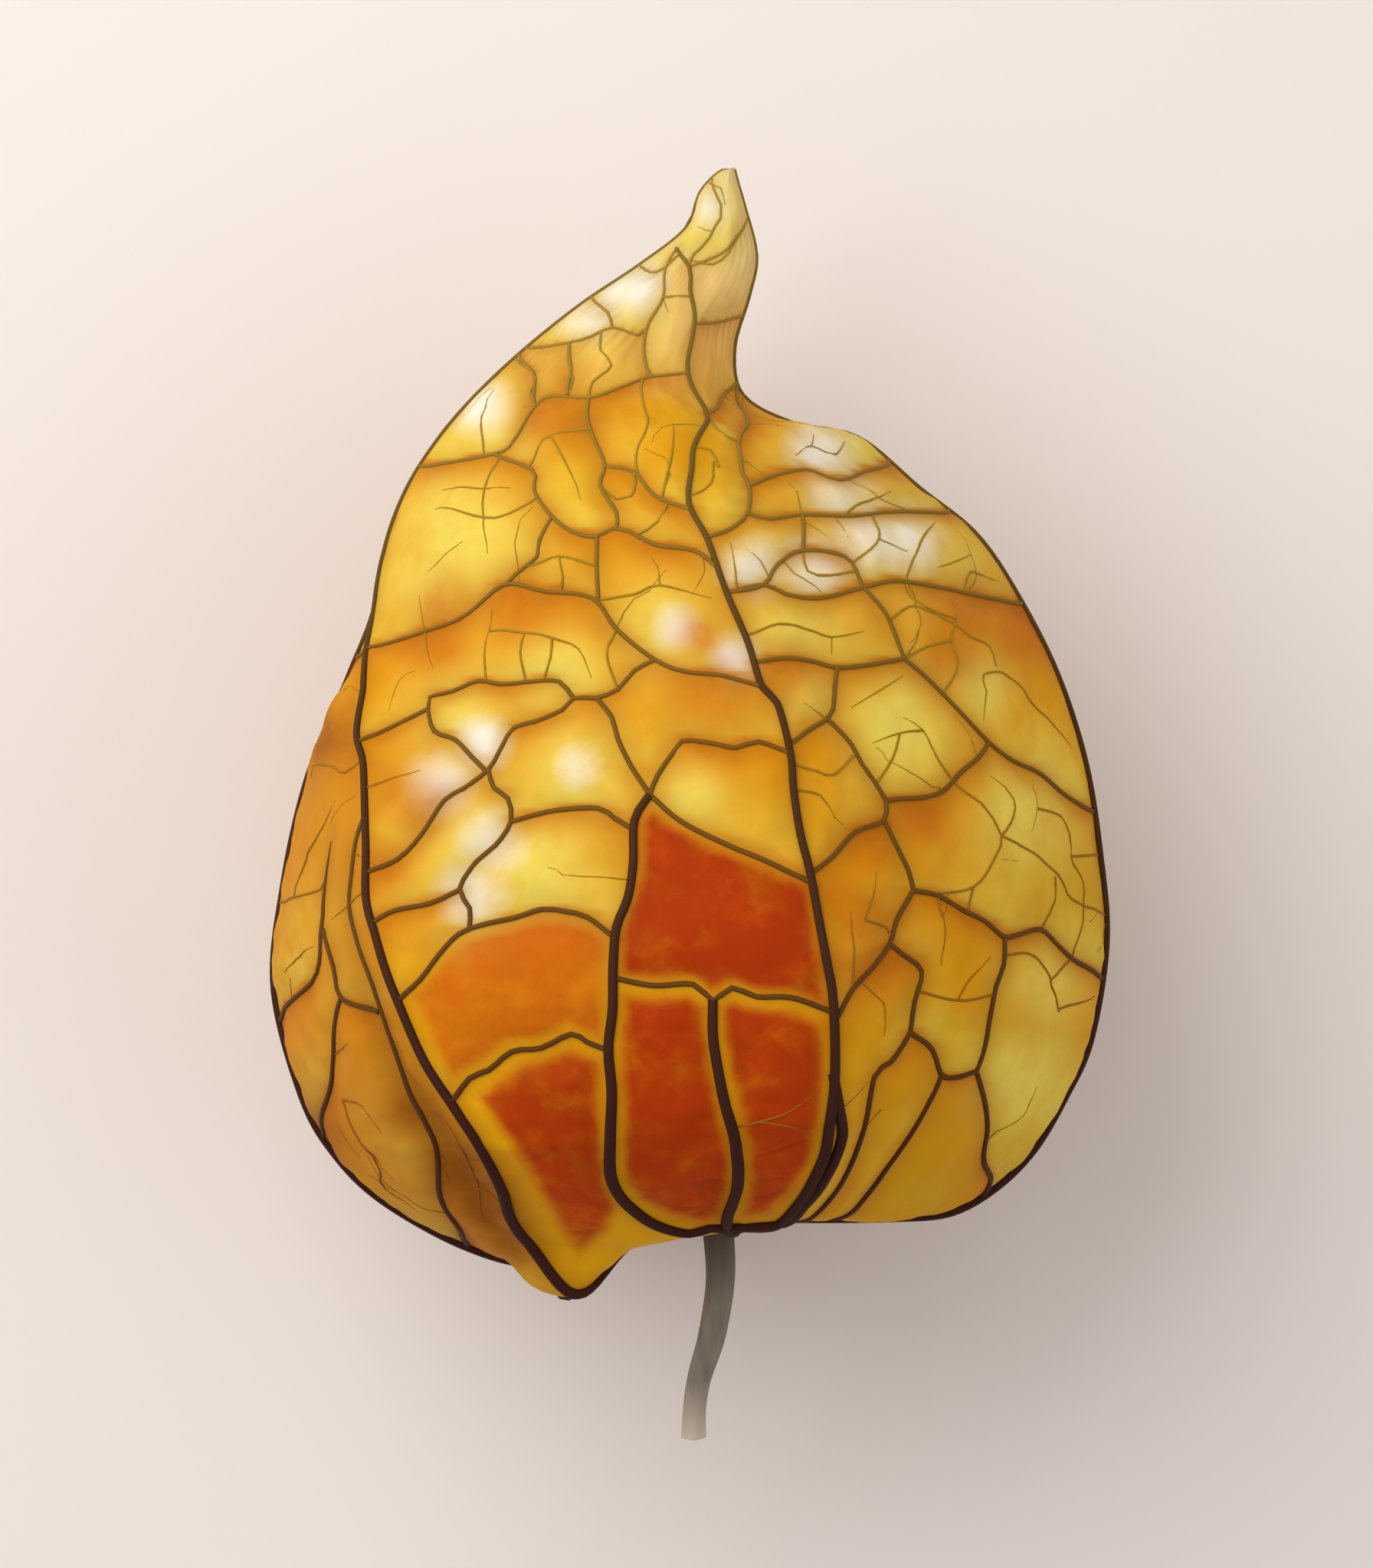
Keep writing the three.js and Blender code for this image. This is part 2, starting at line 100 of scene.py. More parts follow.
# Pairs of row and value: the depth as a share of the width, and the angles of the five corners
DEPTHS = ((0, 0.9), (4, 0.87), (7, 0.95), (9, 0.93), (12, 0.92), (16, 0.96), (24, 1))
FRONT_LEFT_CORNER = ((3, 145), (5, 141), (7, 127), (9, 134), (12, 156), (14, 172), (23, 172))
CORNERS = (
    FRONT_LEFT_CORNER,
    ((3, 80), (6, 71), (9, 71), (13, 83), (15, 84), (18, 60), (23, 80)),
    ((3, 3), (23, 3)),
    ((3, 289), (23, 289)),
    ((3, 215), (12, 225), (23, 235)),
)
BOW = 1.2  # how much fuller the slices bulge near the chin
BOW_ROWS = 2.4
REACH_SAMPLES = 241
REACH_ANGLES = np.arange(0, 360, 5)
NORMAL_ROWS = 0.2  # each way, to find which way the skin faces
NORMAL_DEGREES = 3

# Veins of the near side, as pixels of the photograph: ribs, net and the finest that can be read one by one
FRONT_RIBS = [
    [(478, 882), (477, 909), (471, 960), (481, 1000), (485, 1095), (486, 1170), (500, 1221), (527, 1300),
     (560, 1375), (601, 1439), (635, 1494), (660, 1548), (685, 1607), (757, 1687)],
    [(881, 323), (899, 349), (901, 379), (908, 425), (899, 478), (909, 515), (923, 543), (909, 580),
     (903, 618), (899, 664), (922, 709), (947, 780), (975, 845), (992, 899), (1011, 919), (1028, 984),
     (1032, 1030), (1040, 1083), (1053, 1137), (1066, 1206), (1074, 1248), (1082, 1301), (1084, 1397),
     (1078, 1455), (1068, 1508), (1039, 1562), (1005, 1593), (950, 1594)],
    [(849, 1036), (830, 1069), (828, 1120), (822, 1166), (807, 1204), (803, 1246), (803, 1305), (797, 1360),
     (801, 1418), (799, 1477), (803, 1536), (824, 1565), (858, 1590), (900, 1601), (940, 1594)],
    [(929, 1297), (929, 1343), (935, 1380), (944, 1426), (959, 1489), (961, 1536), (948, 1590)],
    [(1082, 1390), (1091, 1439), (1094, 1472), (1084, 1505), (1068, 1535), (1049, 1560), (1020, 1588),
     (960, 1596)],
]
FRONT_VEINS = [
    [(806, 1271), (853, 1278), (904, 1276), (929, 1297), (953, 1281), (984, 1292), (1030, 1294),
     (1080, 1317)],
    [(849, 1036), (887, 1069), (946, 1099), (1000, 1121), (1055, 1148)],
    [(849, 1036), (824, 998), (807, 964), (799, 935), (780, 912)],
    [(780, 912), (807, 901), (828, 876), (854, 863)],
    [(780, 912), (750, 912), (736, 926), (702, 941), (673, 949), (658, 972), (641, 1002), (609, 1027),
     (584, 1042), (555, 1086), (525, 1116), (488, 1141)],
    [(481, 855), (547, 826), (605, 806), (658, 767), (711, 776), (772, 784), (804, 823), (854, 863),
     (891, 878), (942, 884), (990, 898)],
    [(750, 912), (731, 890), (698, 890), (656, 893), (626, 888), (593, 901), (563, 909), (561, 924),
     (569, 952), (597, 964), (618, 985), (637, 1004)],
    [(477, 962), (521, 943), (561, 924)],
    [(641, 1004), (648, 1026), (666, 1040), (670, 1069), (651, 1099), (626, 1120), (605, 1154), (618, 1179),
     (618, 1204)],
    [(605, 1156), (567, 1173), (521, 1183), (488, 1204)],
    [(670, 1069), (702, 1061), (731, 1055), (782, 1053), (803, 1065), (829, 1082)],
    [(534, 1292), (555, 1271), (580, 1238), (605, 1212), (635, 1200), (677, 1191), (710, 1181), (740, 1183),
     (769, 1191), (804, 1212)],
    [(599, 1422), (618, 1399), (643, 1388), (673, 1363), (710, 1359), (748, 1341), (769, 1351), (797, 1363)],
    [(849, 1036), (858, 1010), (875, 985), (888, 967), (929, 970), (957, 976), (988, 968), (1027, 988)],
    [(561, 612), (640, 594), (669, 576), (697, 530), (719, 516), (769, 519), (811, 505), (851, 491),
     (899, 491)],
    [(683, 455), (740, 444), (769, 437), (797, 426), (833, 437), (844, 430)],
    [(881, 323), (865, 348), (865, 387), (844, 430), (851, 491)], [(769, 384), (790, 405), (797, 426)],
    [(833, 344), (854, 351), (867, 346)], [(686, 462), (694, 487), (697, 530)],
    [(740, 448), (744, 480), (740, 515)], [(939, 234), (940, 266), (930, 296), (905, 330), (899, 349)],
    [(980, 284), (966, 309), (943, 329), (905, 345)], [(908, 429), (947, 423), (968, 411)],
    [(923, 543), (947, 516), (958, 498)],
    [(958, 500), (972, 559), (969, 609), (979, 637), (976, 673), (954, 694), (922, 709)],
    [(979, 637), (1011, 623), (1054, 614), (1097, 626), (1133, 612), (1153, 598)],
    [(976, 673), (1004, 680), (1047, 674), (1111, 674), (1169, 666), (1240, 668)],
    [(1047, 674), (1048, 722)],
    [(947, 780), (997, 767), (1015, 741), (1048, 722), (1104, 730), (1126, 769)],
    [(947, 780), (997, 767), (1026, 779), (1069, 784), (1126, 769), (1169, 760), (1219, 766), (1276, 776),
     (1329, 787)],
    [(1126, 769), (1154, 801), (1172, 844), (1178, 861)],
    [(1178, 861), (1206, 884), (1252, 930), (1290, 968), (1321, 991), (1359, 1009), (1394, 1037),
     (1418, 1064)],
    [(980, 869), (1022, 861), (1061, 865), (1091, 873), (1130, 869), (1178, 861)],
    [(1091, 873), (1088, 899), (1086, 926), (1078, 938), (1053, 953), (1028, 978)],
    [(1078, 938), (1107, 968), (1122, 995), (1141, 1022), (1154, 1043)],
    [(1290, 968), (1275, 988), (1252, 1007), (1229, 1030), (1202, 1039), (1172, 1041), (1154, 1043)],
    [(1154, 1043), (1151, 1068), (1114, 1083), (1084, 1114), (1056, 1140)],
    [(1151, 1068), (1168, 1102), (1183, 1133), (1189, 1158)],
    [(1189, 1158), (1168, 1194), (1158, 1225), (1137, 1255), (1110, 1282), (1083, 1320)],
    [(1189, 1158), (1221, 1164), (1252, 1183), (1283, 1198), (1309, 1219), (1329, 1217), (1359, 1211),
     (1382, 1232), (1409, 1255), (1438, 1276)],
    [(1309, 1219), (1308, 1255), (1298, 1282), (1290, 1324), (1283, 1362), (1272, 1394)],
    [(1158, 1225), (1176, 1240), (1200, 1262), (1191, 1301), (1185, 1340)],
    [(1185, 1340), (1214, 1363), (1226, 1397), (1243, 1402), (1272, 1394)],
    [(1185, 1340), (1160, 1378), (1139, 1397), (1127, 1460), (1107, 1518), (1078, 1567), (1058, 1588)],
    [(1226, 1397), (1214, 1426), (1190, 1470), (1151, 1528), (1127, 1562), (1105, 1588)],
    [(1272, 1394), (1282, 1426), (1289, 1470), (1286, 1518), (1275, 1565)],
    [(644, 594), (694, 616), (697, 644), (719, 676), (747, 698), (776, 705), (801, 694), (819, 698),
     (854, 716), (904, 724), (930, 745)],
    [(719, 680), (704, 709), (701, 730), (676, 751), (660, 767)], [(779, 705), (779, 744), (781, 787)],
    [(769, 519), (772, 566), (789, 609), (783, 637), (804, 673), (804, 694)],
    [(789, 612), (826, 619), (854, 651), (899, 669)],
    [(466, 1065), (470, 1095), (462, 1137), (456, 1179), (464, 1221), (479, 1267), (489, 1305), (502, 1355),
     (521, 1418), (542, 1460), (563, 1498), (571, 1536), (580, 1574), (601, 1607), (618, 1630)],
    [(433, 1095), (422, 1166), (420, 1208), (409, 1276), (374, 1335)],
    [(422, 1210), (435, 1259), (445, 1299), (487, 1318)],
    [(445, 1299), (437, 1347), (435, 1384), (426, 1430), (430, 1485)],
]
FINE_VEINS = [
    [(981, 828), (1015, 820), (1057, 828), (1082, 836), (1123, 828)], [(1082, 836), (1084, 856)],
    [(1240, 785), (1240, 819), (1235, 840), (1243, 867), (1238, 890), (1229, 904)],
    [(1161, 808), (1181, 796), (1199, 798), (1240, 819), (1259, 833), (1284, 847), (1293, 872)],
    [(1195, 821), (1192, 840), (1181, 860)], [(1181, 856), (1204, 847), (1235, 840)],
    [(1281, 941), (1282, 904), (1278, 883), (1309, 883), (1337, 913), (1360, 938), (1383, 959), (1401, 977)],
    [(1174, 938), (1199, 954), (1213, 987), (1236, 1012), (1250, 1028), (1273, 1049), (1297, 1090),
     (1289, 1115), (1263, 1154), (1218, 1161), (1192, 1156)],
    [(1133, 971), (1167, 959), (1199, 954)], [(1167, 959), (1158, 991), (1148, 1019)],
    [(1107, 925), (1139, 906), (1176, 883)], [(1045, 920), (1061, 929), (1077, 938)],
    [(1034, 991), (1061, 1007), (1082, 1012), (1112, 989)],
    [(1045, 1028), (1066, 1037), (1084, 1065), (1098, 1074)], [(1263, 1154), (1263, 1184)],
    [(1297, 1090), (1328, 1104), (1360, 1129), (1383, 1152), (1406, 1179), (1433, 1207)],
    [(1348, 1023), (1346, 1055), (1337, 1085)],
    [(1346, 1055), (1378, 1065), (1392, 1088), (1392, 1117), (1406, 1143), (1410, 1179), (1403, 1241)],
    [(1360, 1207), (1371, 1175), (1369, 1143)], [(1289, 1012), (1316, 1044), (1309, 1074), (1297, 1090)],
    [(1392, 1117), (1429, 1115)], [(1137, 1134), (1133, 1166), (1121, 1193)],
    [(1103, 1184), (1107, 1221), (1112, 1276)], [(1121, 1196), (1153, 1205), (1160, 1212)],
    [(1220, 1166), (1224, 1207), (1222, 1255)],
    [(1309, 1239), (1337, 1241), (1360, 1262), (1374, 1303), (1378, 1317)], [(1367, 1276), (1397, 1260)],
    [(1378, 1315), (1429, 1299)], [(1204, 1294), (1240, 1299), (1296, 1294)],
    [(1240, 1299), (1254, 1276), (1286, 1244)], [(1298, 1120), (1323, 1122)],
    [(684, 459), (694, 484), (690, 509), (697, 531)], [(744, 444), (739, 469), (747, 494), (744, 511)],
    [(786, 439), (784, 459), (799, 479), (774, 499), (771, 519)],
    [(632, 591), (630, 559), (635, 539), (645, 509)], [(844, 504), (846, 554), (831, 598), (831, 623)],
    [(647, 598), (635, 643), (637, 683), (640, 728)], [(580, 643), (605, 641), (635, 643), (667, 641)],
    [(570, 668), (590, 668), (640, 683), (669, 678), (704, 653)], [(562, 750), (585, 728), (610, 713)],
    [(719, 578), (744, 568), (769, 563)], [(689, 616), (719, 578), (749, 628), (759, 658)],
    [(789, 638), (804, 656), (824, 653), (829, 633), (826, 621)], [(863, 665), (859, 688), (839, 698)],
    [(878, 559), (876, 608), (866, 658)], [(908, 588), (928, 593), (938, 616)],
    [(931, 608), (928, 638), (908, 658)], [(928, 549), (938, 568), (968, 578)],
    [(1038, 598), (1058, 586), (1087, 596), (1102, 578)], [(1058, 586), (1060, 571)],
    [(1030, 633), (1048, 668)], [(1097, 673), (1122, 658), (1162, 643)], [(1058, 688), (1077, 703)],
    [(1092, 683), (1105, 705)], [(1142, 678), (1142, 710), (1112, 738)], [(1142, 710), (1182, 723)],
    [(1222, 680), (1199, 708), (1184, 753), (1182, 762), (1187, 782), (1212, 800), (1242, 812)],
    [(1050, 728), (1053, 750), (1082, 755), (1107, 748)], [(1222, 743), (1252, 733), (1266, 725)],
    [(1261, 765), (1266, 748), (1306, 758)], [(684, 738), (709, 738), (734, 733), (774, 745)],
    [(734, 733), (737, 758), (732, 775)], [(789, 782), (829, 782), (863, 772), (928, 787)],
    [(863, 772), (859, 748), (849, 733)], [(953, 713), (958, 772)], [(973, 723), (993, 738), (1003, 753)],
    [(642, 797), (642, 827), (635, 857), (632, 892)],
    [(642, 827), (684, 830), (724, 837), (759, 852), (774, 887)], [(689, 830), (684, 857), (683, 887)],
    [(724, 837), (722, 862), (714, 887)], [(799, 830), (794, 857), (799, 892)],
    [(903, 340), (931, 345), (953, 330), (968, 310), (978, 285)], [(908, 295), (928, 300), (941, 280)],
    [(863, 392), (888, 393)], [(863, 392), (873, 409)],
    [(955, 1462), (989, 1451), (1020, 1440), (1065, 1413)], [(989, 1451), (1029, 1456), (1056, 1473)],
    [(450, 1431), (465, 1463), (484, 1493), (501, 1522), (506, 1548), (556, 1578)],
    [(365, 1185), (392, 1170), (418, 1158), (427, 1147)],
    [(409, 1015), (415, 1000), (436, 1000), (456, 1008), (474, 998)],
    [(553, 1454), (576, 1466), (594, 1490), (612, 1531), (623, 1560), (629, 1595)],
    [(623, 1560), (664, 1572)], [(612, 1513), (635, 1510)],
    [(392, 1170), (400, 1132), (418, 1091), (444, 1044)], [(433, 1073), (453, 1050), (471, 1038)],
    [(433, 1196), (450, 1179), (480, 1161)], [(450, 1431), (480, 1437), (506, 1472)],
    [(439, 1375), (462, 1355)], [(374, 1267), (392, 1249), (412, 1232)],
    [(550, 780), (553, 821), (570, 874)], [(512, 927), (526, 891), (547, 877)],
    [(494, 1023), (524, 1015), (556, 1006)],
]

# The lowest row that can be seen from above: below it the husk turns under towards the stem.
SHOULDER_ROW = 4
SHOULDER_REACH = 0.7
SEARCH_PARTS = 4  # of a row
SEARCH_ANGLES = np.arange(-10, 191, 2.5)
FINER_STEPS = (0.125, 0.06, 0.03, 0.015, 0.008)
DEGREES_PER_ROW = 10
TRIES = np.arange(-2, 3)  # steps each way

# The far side's ribs run from base to tip, and a ladder of bowed veins joins each to the next.
FAR_RIBS = (3, -35, -71, -107, -143)
FAR_RIB_ROWS = (0.2, 2, 3.5, 5, 6, 7, 8, 9, 11, 13, 15, 16, 17, 18, 20, 22, 23.8)
RIB_WOBBLE = 3  # degrees
WOBBLE_PER_ROW = 0.7
WOBBLE_PER_RIB = 2
RUNG_ROWS = (4.6, 6.5, 8.2, 9.5, 11, 12.6, 14.4, 16.6)
RUNG_SCATTER = 0.7  # rows, at both ends of a rung
RUNG_BOW = 0.35
MIDDLE_SCATTER = 0.5
SHARE_SCATTER = 0.3
# Each rung's start, end, middle and bend have a seed of their own.
SEEDS_PER_GAP = 31
END_SEED = 500
MIDDLE_SEED = 900
SHARE_SEED = 70
SCATTER_STEP = 12.9898
SCATTER_SIZE = 43758.5453
# Rows and angles of the rib along the lobe's edge, which runs into the front left rib at its last row
LOBE_RIB = np.array([(0.2, -178), (2, -178), (4, -180), (6, -180), (8, -180), (10, -180), (11, -180),
                     (12, -183), (12.6, -190), (13.2, -193)])
LOBE_RIB_END = LOBE_RIB[-1, 0]
# Rows and angles of the vein round the hanging chin, from the lobe's rib to the front left one
CHIN_EDGE = np.array([(4.05, 180), (4.05, 170), (4, 160), (3.95, 152), (4, 145), (4, 139)], float)
# Rows and angles of the front left rib where it runs down the outline's left side
LEFT_EDGE_RIB = np.array([(23.7, 176), (21, 174), (18, 174), (16, 174), (14.5, 173), (13.2, 167)])
# Rows and angles of the way from the shoulder to the stem
HEEL = np.array([(3, 92), (2, 91), (1, 90), (0.3, 90)], float)
RIGHT_SIDE = 28  # veins that end beyond these angles end on the outline
LEFT_SIDE = 165
RIB_END_ROW = 0.3  # where veins stop under the shoulder
NET_END_ROW = 1.4
UNDER_STEPS = 3

# Radii of the veins: ribs and net in pairs of row and millimetres
RIB_RADII = ((0, 0.2), (3, 0.24), (6, 0.25), (8, 0.21), (11, 0.16), (14, 0.12), (20, 0.085), (24, 0.05))
NET_RADII = ((0, 0.13), (8, 0.115), (12, 0.095), (16, 0.08), (20, 0.06), (24, 0.045))
FINE_RADIUS = 0.058 * MM
VEINLET_RADIUS = 0.035 * MM
TAPER = 2.5 * MM  # how far a free end takes to thin out, and what share of the radius is left
THIN_END = 0.3
STEP = 0.35 * MM  # along every vein
RIB_REACH = 1.2 * MM  # how close to a rib a vein of the net ends on it
NET_REACH = 0.5 * MM  # how close to the net or a rib a fine vein ends on it
MEETING = 0.3 * MM  # how close two veins touch
RIB_SIDES = 8
NET_SIDES = 6
VEINLET_SIDES = 4
RAISED = 0.2  # how far veins stand out of the skin, in radii
VEINLETS_RAISED = 0.1

# The skin's relief
QUILT_DEPTH = 0.28 * MM
QUILT_SPREAD = 1.1 * MM
RIB_CREST = 0.16 * MM
RIB_SPREAD = 0.7 * MM
CRINKLE = 0.15 * MM
CRINKLE_SIZE = 1.6 * MM
FINE_CRINKLE = 0.5
FINE_CRINKLE_RATIO = 2.3
FOLD_DEPTH = 0.8 * MM
FOLD_ANGLE = 7
FOLD_SPREAD = 5
# Pairs of row and how deep the crease is there
FOLD_SHARE = ((4.5, 0), (6, 1), (7.5, 1), (10.5, 0))
SKIN_SEGMENTS = 336
SKIN_RINGS = 270
ROW_SAMPLES = 481
WAY_ANGLE = 135  # where the way along the husk is measured, in degrees

# Washes of colour, each as pixels of the photograph and a radius in pixels
# Painted highlights, near white, in the middles of the cells
PAINTED_CREAM_HIGHLIGHTS = (
    (635, 972, 32), (585, 1022, 38), (761, 1002, 26), (652, 1098, 38), (625, 1166, 40), (1097, 648, 42),
    (1128, 700, 46), (1180, 712, 44), (983, 748, 40), (1056, 748, 42), (800, 368, 42), (835, 376, 34),
    (762, 412, 34), (630, 532, 36), (958, 868, 30), (1070, 596, 40), (925, 272, 26), (882, 826, 26),
)
# Softer painted highlights in pale yellow, wider round the cream ones
PAINTED_LEMON_HIGHLIGHTS = (
    (600, 700, 85), (560, 765, 55), (610, 950, 60), (590, 1030, 55), (761, 1004, 60), (640, 1100, 70),
    (700, 1130, 80), (1100, 600, 70), (1110, 660, 75), (1183, 716, 85), (1240, 740, 60), (1000, 751, 70),
    (1040, 816, 70), (876, 830, 60), (954, 866, 45), (810, 370, 70), (760, 410, 60), (630, 530, 75),
    (726, 887, 50), (1175, 940, 75), (1340, 1057, 75), (1369, 1280, 60), (1340, 1410, 70), (1050, 905, 40),
    (900, 1040, 40), (640, 1210, 50), (920, 290, 60), (1270, 900, 45),
)
# Painted shade in deeper orange, mostly just under the cross veins
PAINTED_DEEP_SHADE = (
    (719, 551, 45), (740, 551, 50), (1254, 801, 60), (1340, 823, 60), (1233, 859, 50), (583, 801, 50),
    (676, 801, 50), (576, 844, 45), (911, 837, 35), (926, 907, 50), (1026, 886, 40), (519, 1029, 40),
    (554, 1050, 45), (504, 1121, 35), (1126, 1100, 40), (1090, 1171, 40), (1197, 1071, 40),
    (1083, 1250, 40), (1126, 1250, 50), (1120, 1200, 50),
)
GREEN = ((1300, 1450, 200), (1400, 1200, 120), (483, 1350, 70), (500, 1480, 100))
# Painted shade in dark brown, low in the fold by the lobe and along the lobe's lower edge
PAINTED_UMBER_SHADE = (
    (640, 1560, 60), (600, 1520, 50), (680, 1610, 40), (420, 960, 50), (545, 1440, 35), (400, 1480, 50),
)
# Panels where the berry glows through, and the duller one beside them, as pixels round each
GLOWING = (
    ((849, 1042), (887, 1069), (946, 1099), (1000, 1121), (1055, 1148), (1066, 1206), (1074, 1248),
     (1081, 1300), (1078, 1315), (1030, 1294), (984, 1292), (953, 1281), (929, 1297), (904, 1276),
     (853, 1278), (806, 1271), (803, 1246), (807, 1204), (822, 1166), (828, 1120), (830, 1069)),
    ((806, 1278), (853, 1284), (904, 1282), (927, 1300), (929, 1343), (935, 1380), (944, 1426), (959, 1489),
     (961, 1536), (948, 1585), (918, 1595), (870, 1585), (835, 1560), (810, 1530), (806, 1477), (805, 1418),
     (803, 1360), (808, 1305)),
    ((933, 1300), (953, 1287), (984, 1298), (1030, 1300), (1074, 1320), (1078, 1397), (1072, 1455),
     (1060, 1508), (1035, 1555), (1005, 1582), (955, 1590), (966, 1536), (965, 1489), (950, 1426),
     (941, 1380), (935, 1343)),
    ((625, 1420), (650, 1395), (678, 1370), (710, 1364), (748, 1347), (769, 1357), (795, 1367), (797, 1418),
     (795, 1477), (800, 1530), (815, 1560), (800, 1600), (757, 1640), (730, 1600), (700, 1540), (665, 1480)),
)
AMBER = (
    ((540, 1292), (560, 1271), (585, 1240), (610, 1216), (640, 1206), (677, 1198), (710, 1188), (740, 1190),
     (769, 1198), (800, 1217), (800, 1246), (799, 1305), (794, 1358), (769, 1345), (748, 1335), (710, 1352),
     (673, 1356), (643, 1381), (615, 1395), (598, 1415), (590, 1400), (565, 1345), (550, 1310)),
)
# The folded lobe, and the yellow skin round the glowing panels
LOBE = (
    ((478, 870), (407, 985), (350, 1150), (330, 1290), (380, 1450), (437, 1540), (500, 1600), (606, 1660),
     (735, 1690), (700, 1625), (668, 1560), (601, 1439), (527, 1300), (500, 1221), (486, 1170), (481, 1000)),
)
YELLOW = (
    ((500, 1221), (600, 1240), (800, 1240), (849, 1036), (1055, 1148), (1082, 1301), (1084, 1397),
     (1068, 1508), (1039, 1570), (958, 1600), (880, 1612), (757, 1690), (690, 1612), (635, 1494),
     (560, 1375), (527, 1300)),
)
# How wide the soft edges of these panels are, in pixels
GLOW_EDGE = 22
AMBER_EDGE = 16
YELLOW_EDGE = 30
LOBE_EDGE = 12
STRAW_ROW = 17  # from here the neck fades to straw, over so many rows
STRAW_ROWS = 4
NEAR_SPREAD = 0.7 * MM  # how far a vein darkens the skin on both sides
PAINTED_LIGHT_REACH = 2.2 * MM  # how far the painted shade below a cross vein and the painted highlight above it reach
VEINED_SHARE = 0.85  # how much of a painted highlight is lost in the painted shade right under a vein
FACING_SHARE = 0.6  # how strong the washes are at the height of the axis, and how fast they fade below it
FACING_DEPTH = 3 * MM
SMOOTHINGS = 4
TINY = 1e-12  # keeps a division from being one by nothing

# Veinlets that sprout from the veins and wander across the panels
SEED = 11
FIRST_SPROUT = (0.5, 2)  # millimetres along a vein before its first veinlet, and between the next ones
SPROUTS = (1.3, 3.0)
VEINLET_LENGTHS = (1.2, 4.5)  # millimetres
VEINLET_THICKNESS = (0.7, 1.3)
VEINLET_END = 0.45
SLANT = 0.5
BARE_BASE_ROWS = 2  # no veinlet sprouts in these rows at the base and the tip
BARE_TIP_ROWS = 1.2
LAST_BASE_ROWS = 1  # and none wanders on into these
LAST_TIP_ROWS = 0.6
FORKS = 2
FORK_CHANCE = 0.22
TWIG_LENGTH = 0.5
TWIG_RADIUS = 0.7
KINK_CHANCE = 0.3  # of a sharp turn at a step, which otherwise only sways
KINKS = (0.3, 0.8)
SWAY = 0.08
ROW_NUDGE = 0.1  # rows and degrees over which the skin's slope is measured
TURN_NUDGE = 2
FREE_STEPS = 2  # the first steps, which neither fork nor stop at a vein
LEAST_PLACES = 4
FRONT_SHARE = 0.12  # how many of those on the near side stay

# The berry and the stem
BERRY_SEGMENTS = 96
BERRY_RINGS = 64
DIMPLE_DEPTH = 0.35 * MM  # at the far end
DIMPLE_SPREAD = 0.05
DENT_DEPTH = 0.3 * MM  # at the stem
DENT_SPREAD = 0.06
# Pixels along the stem, and its radius at each in millimetres
STEM_ROUTE = (
    (934, 1542), (936, 1570), (938, 1607), (940, 1671), (929, 1743), (912, 1800), (906, 1840), (905, 1878),
)
STEM_RADII = (1, 0.6, 0.62, 0.57, 0.55, 0.48, 0.46, 0.5)
STEM_SEGMENTS = 40
STEM_RINGS = 90
STEM_RIDGES = 5
STEM_RIDGE_RISE = 0.07
STEM_TWIST = 0.6
STEM_CAP = 0.03  # what share of the length rounds each end
STEM_NUDGE = 0.05

# How wide the materials' patches are
MOTTLE = 3.3 * MM
CLOUD = 1.6 * MM
WRINKLE = 0.6 * MM
BLUSH = 5.5 * MM
FIBRE = 0.33 * MM
FIBRE_STRETCH = 0.12
PAPER_RELIEF = 0.1 * MM
BARK_RELIEF = 0.08 * MM
FLESH_DEPTH = 1.5 * MM  # how deep light runs in the berry
# Where the veins and the stem change colour, along +Y
VEIN_LOW = -14 * MM
VEIN_MIDDLE = 4 * MM
VEIN_HIGH = 22 * MM
STEM_SHADE = -17 * MM
STEM_LIGHT = -20.5 * MM
CUT_START = -23.5 * MM
CUT_END = -26 * MM

# The numbers of sockets whose names are used more than once in their node
MIX_FACTOR, MIX_UNDER, MIX_OVER, MIX_RESULT = 0, 6, 7, 2
VALUE, FROM_LOW, FROM_HIGH, TO_LOW, TO_HIGH = range(5)
SHARE, FIRST, SECOND = range(3)
FACTOR, TIMES, PLUS = range(3)

# The studio
FLOOR_SIZE = 1.6
LAMPS = (
    # name, place, size, watts
    ("key", (-0.125, 0.1, 0.165), 0.24, 0.54),
    ("fill", (0.2, -0.02, 0.15), 0.25, 0.16),
)
LAMP_COLOUR = "#FFFDFA"
SKY_COLOUR = "#FFFFFF"
SKY_STRENGTH = 0.58
LENS = 250
SENSOR = 36
MIDDLE_HEIGHT = 15.5 * MM
CLIP_END = 10


def from_photo(x, y, z=AXIS_HEIGHT):
    """The place of a pixel of the photograph."""
    return Vector(((x - PHOTO_MIDDLE_X) * PIXEL, (PHOTO_MIDDLE_Y - y) * PIXEL, z))


def track(points, rows):
    """A value read between the rows where it is given."""
    at, values = zip(*points)
    return np.interp(rows, at, values)


def hump(away, spread):
    """1 at no distance, and less and less past the spread."""
    return np.exp(-((away / spread) ** 2))


def degrees_between(a, b):
    """How far angle a is from angle b, from -180 to 180."""
    return (a - b + 180) % 360 - 180


def curved(before, here, there, after, t):
    """A smooth curve from here to there, shaped by the points before and after them."""
    return 0.5 * (
        2 * here
        + (there - before) * t
        + (2 * before - 5 * here + 4 * there - after) * t**2
        + (3 * here - before - 3 * there + after) * t**3
    )


def along_line(line, at):
    """Points on a smooth curve through a line's points, counted from 0."""
    last = len(line) - 1
    at = np.clip(at, 0, last)
    start = np.minimum(at.astype(int), last - 1)
    t = (at - start)[..., None]
    before = line[np.maximum(start - 1, 0)]
    after = line[np.minimum(start + 2, last)]
    return curved(before, line[start], line[start + 1], after, t)


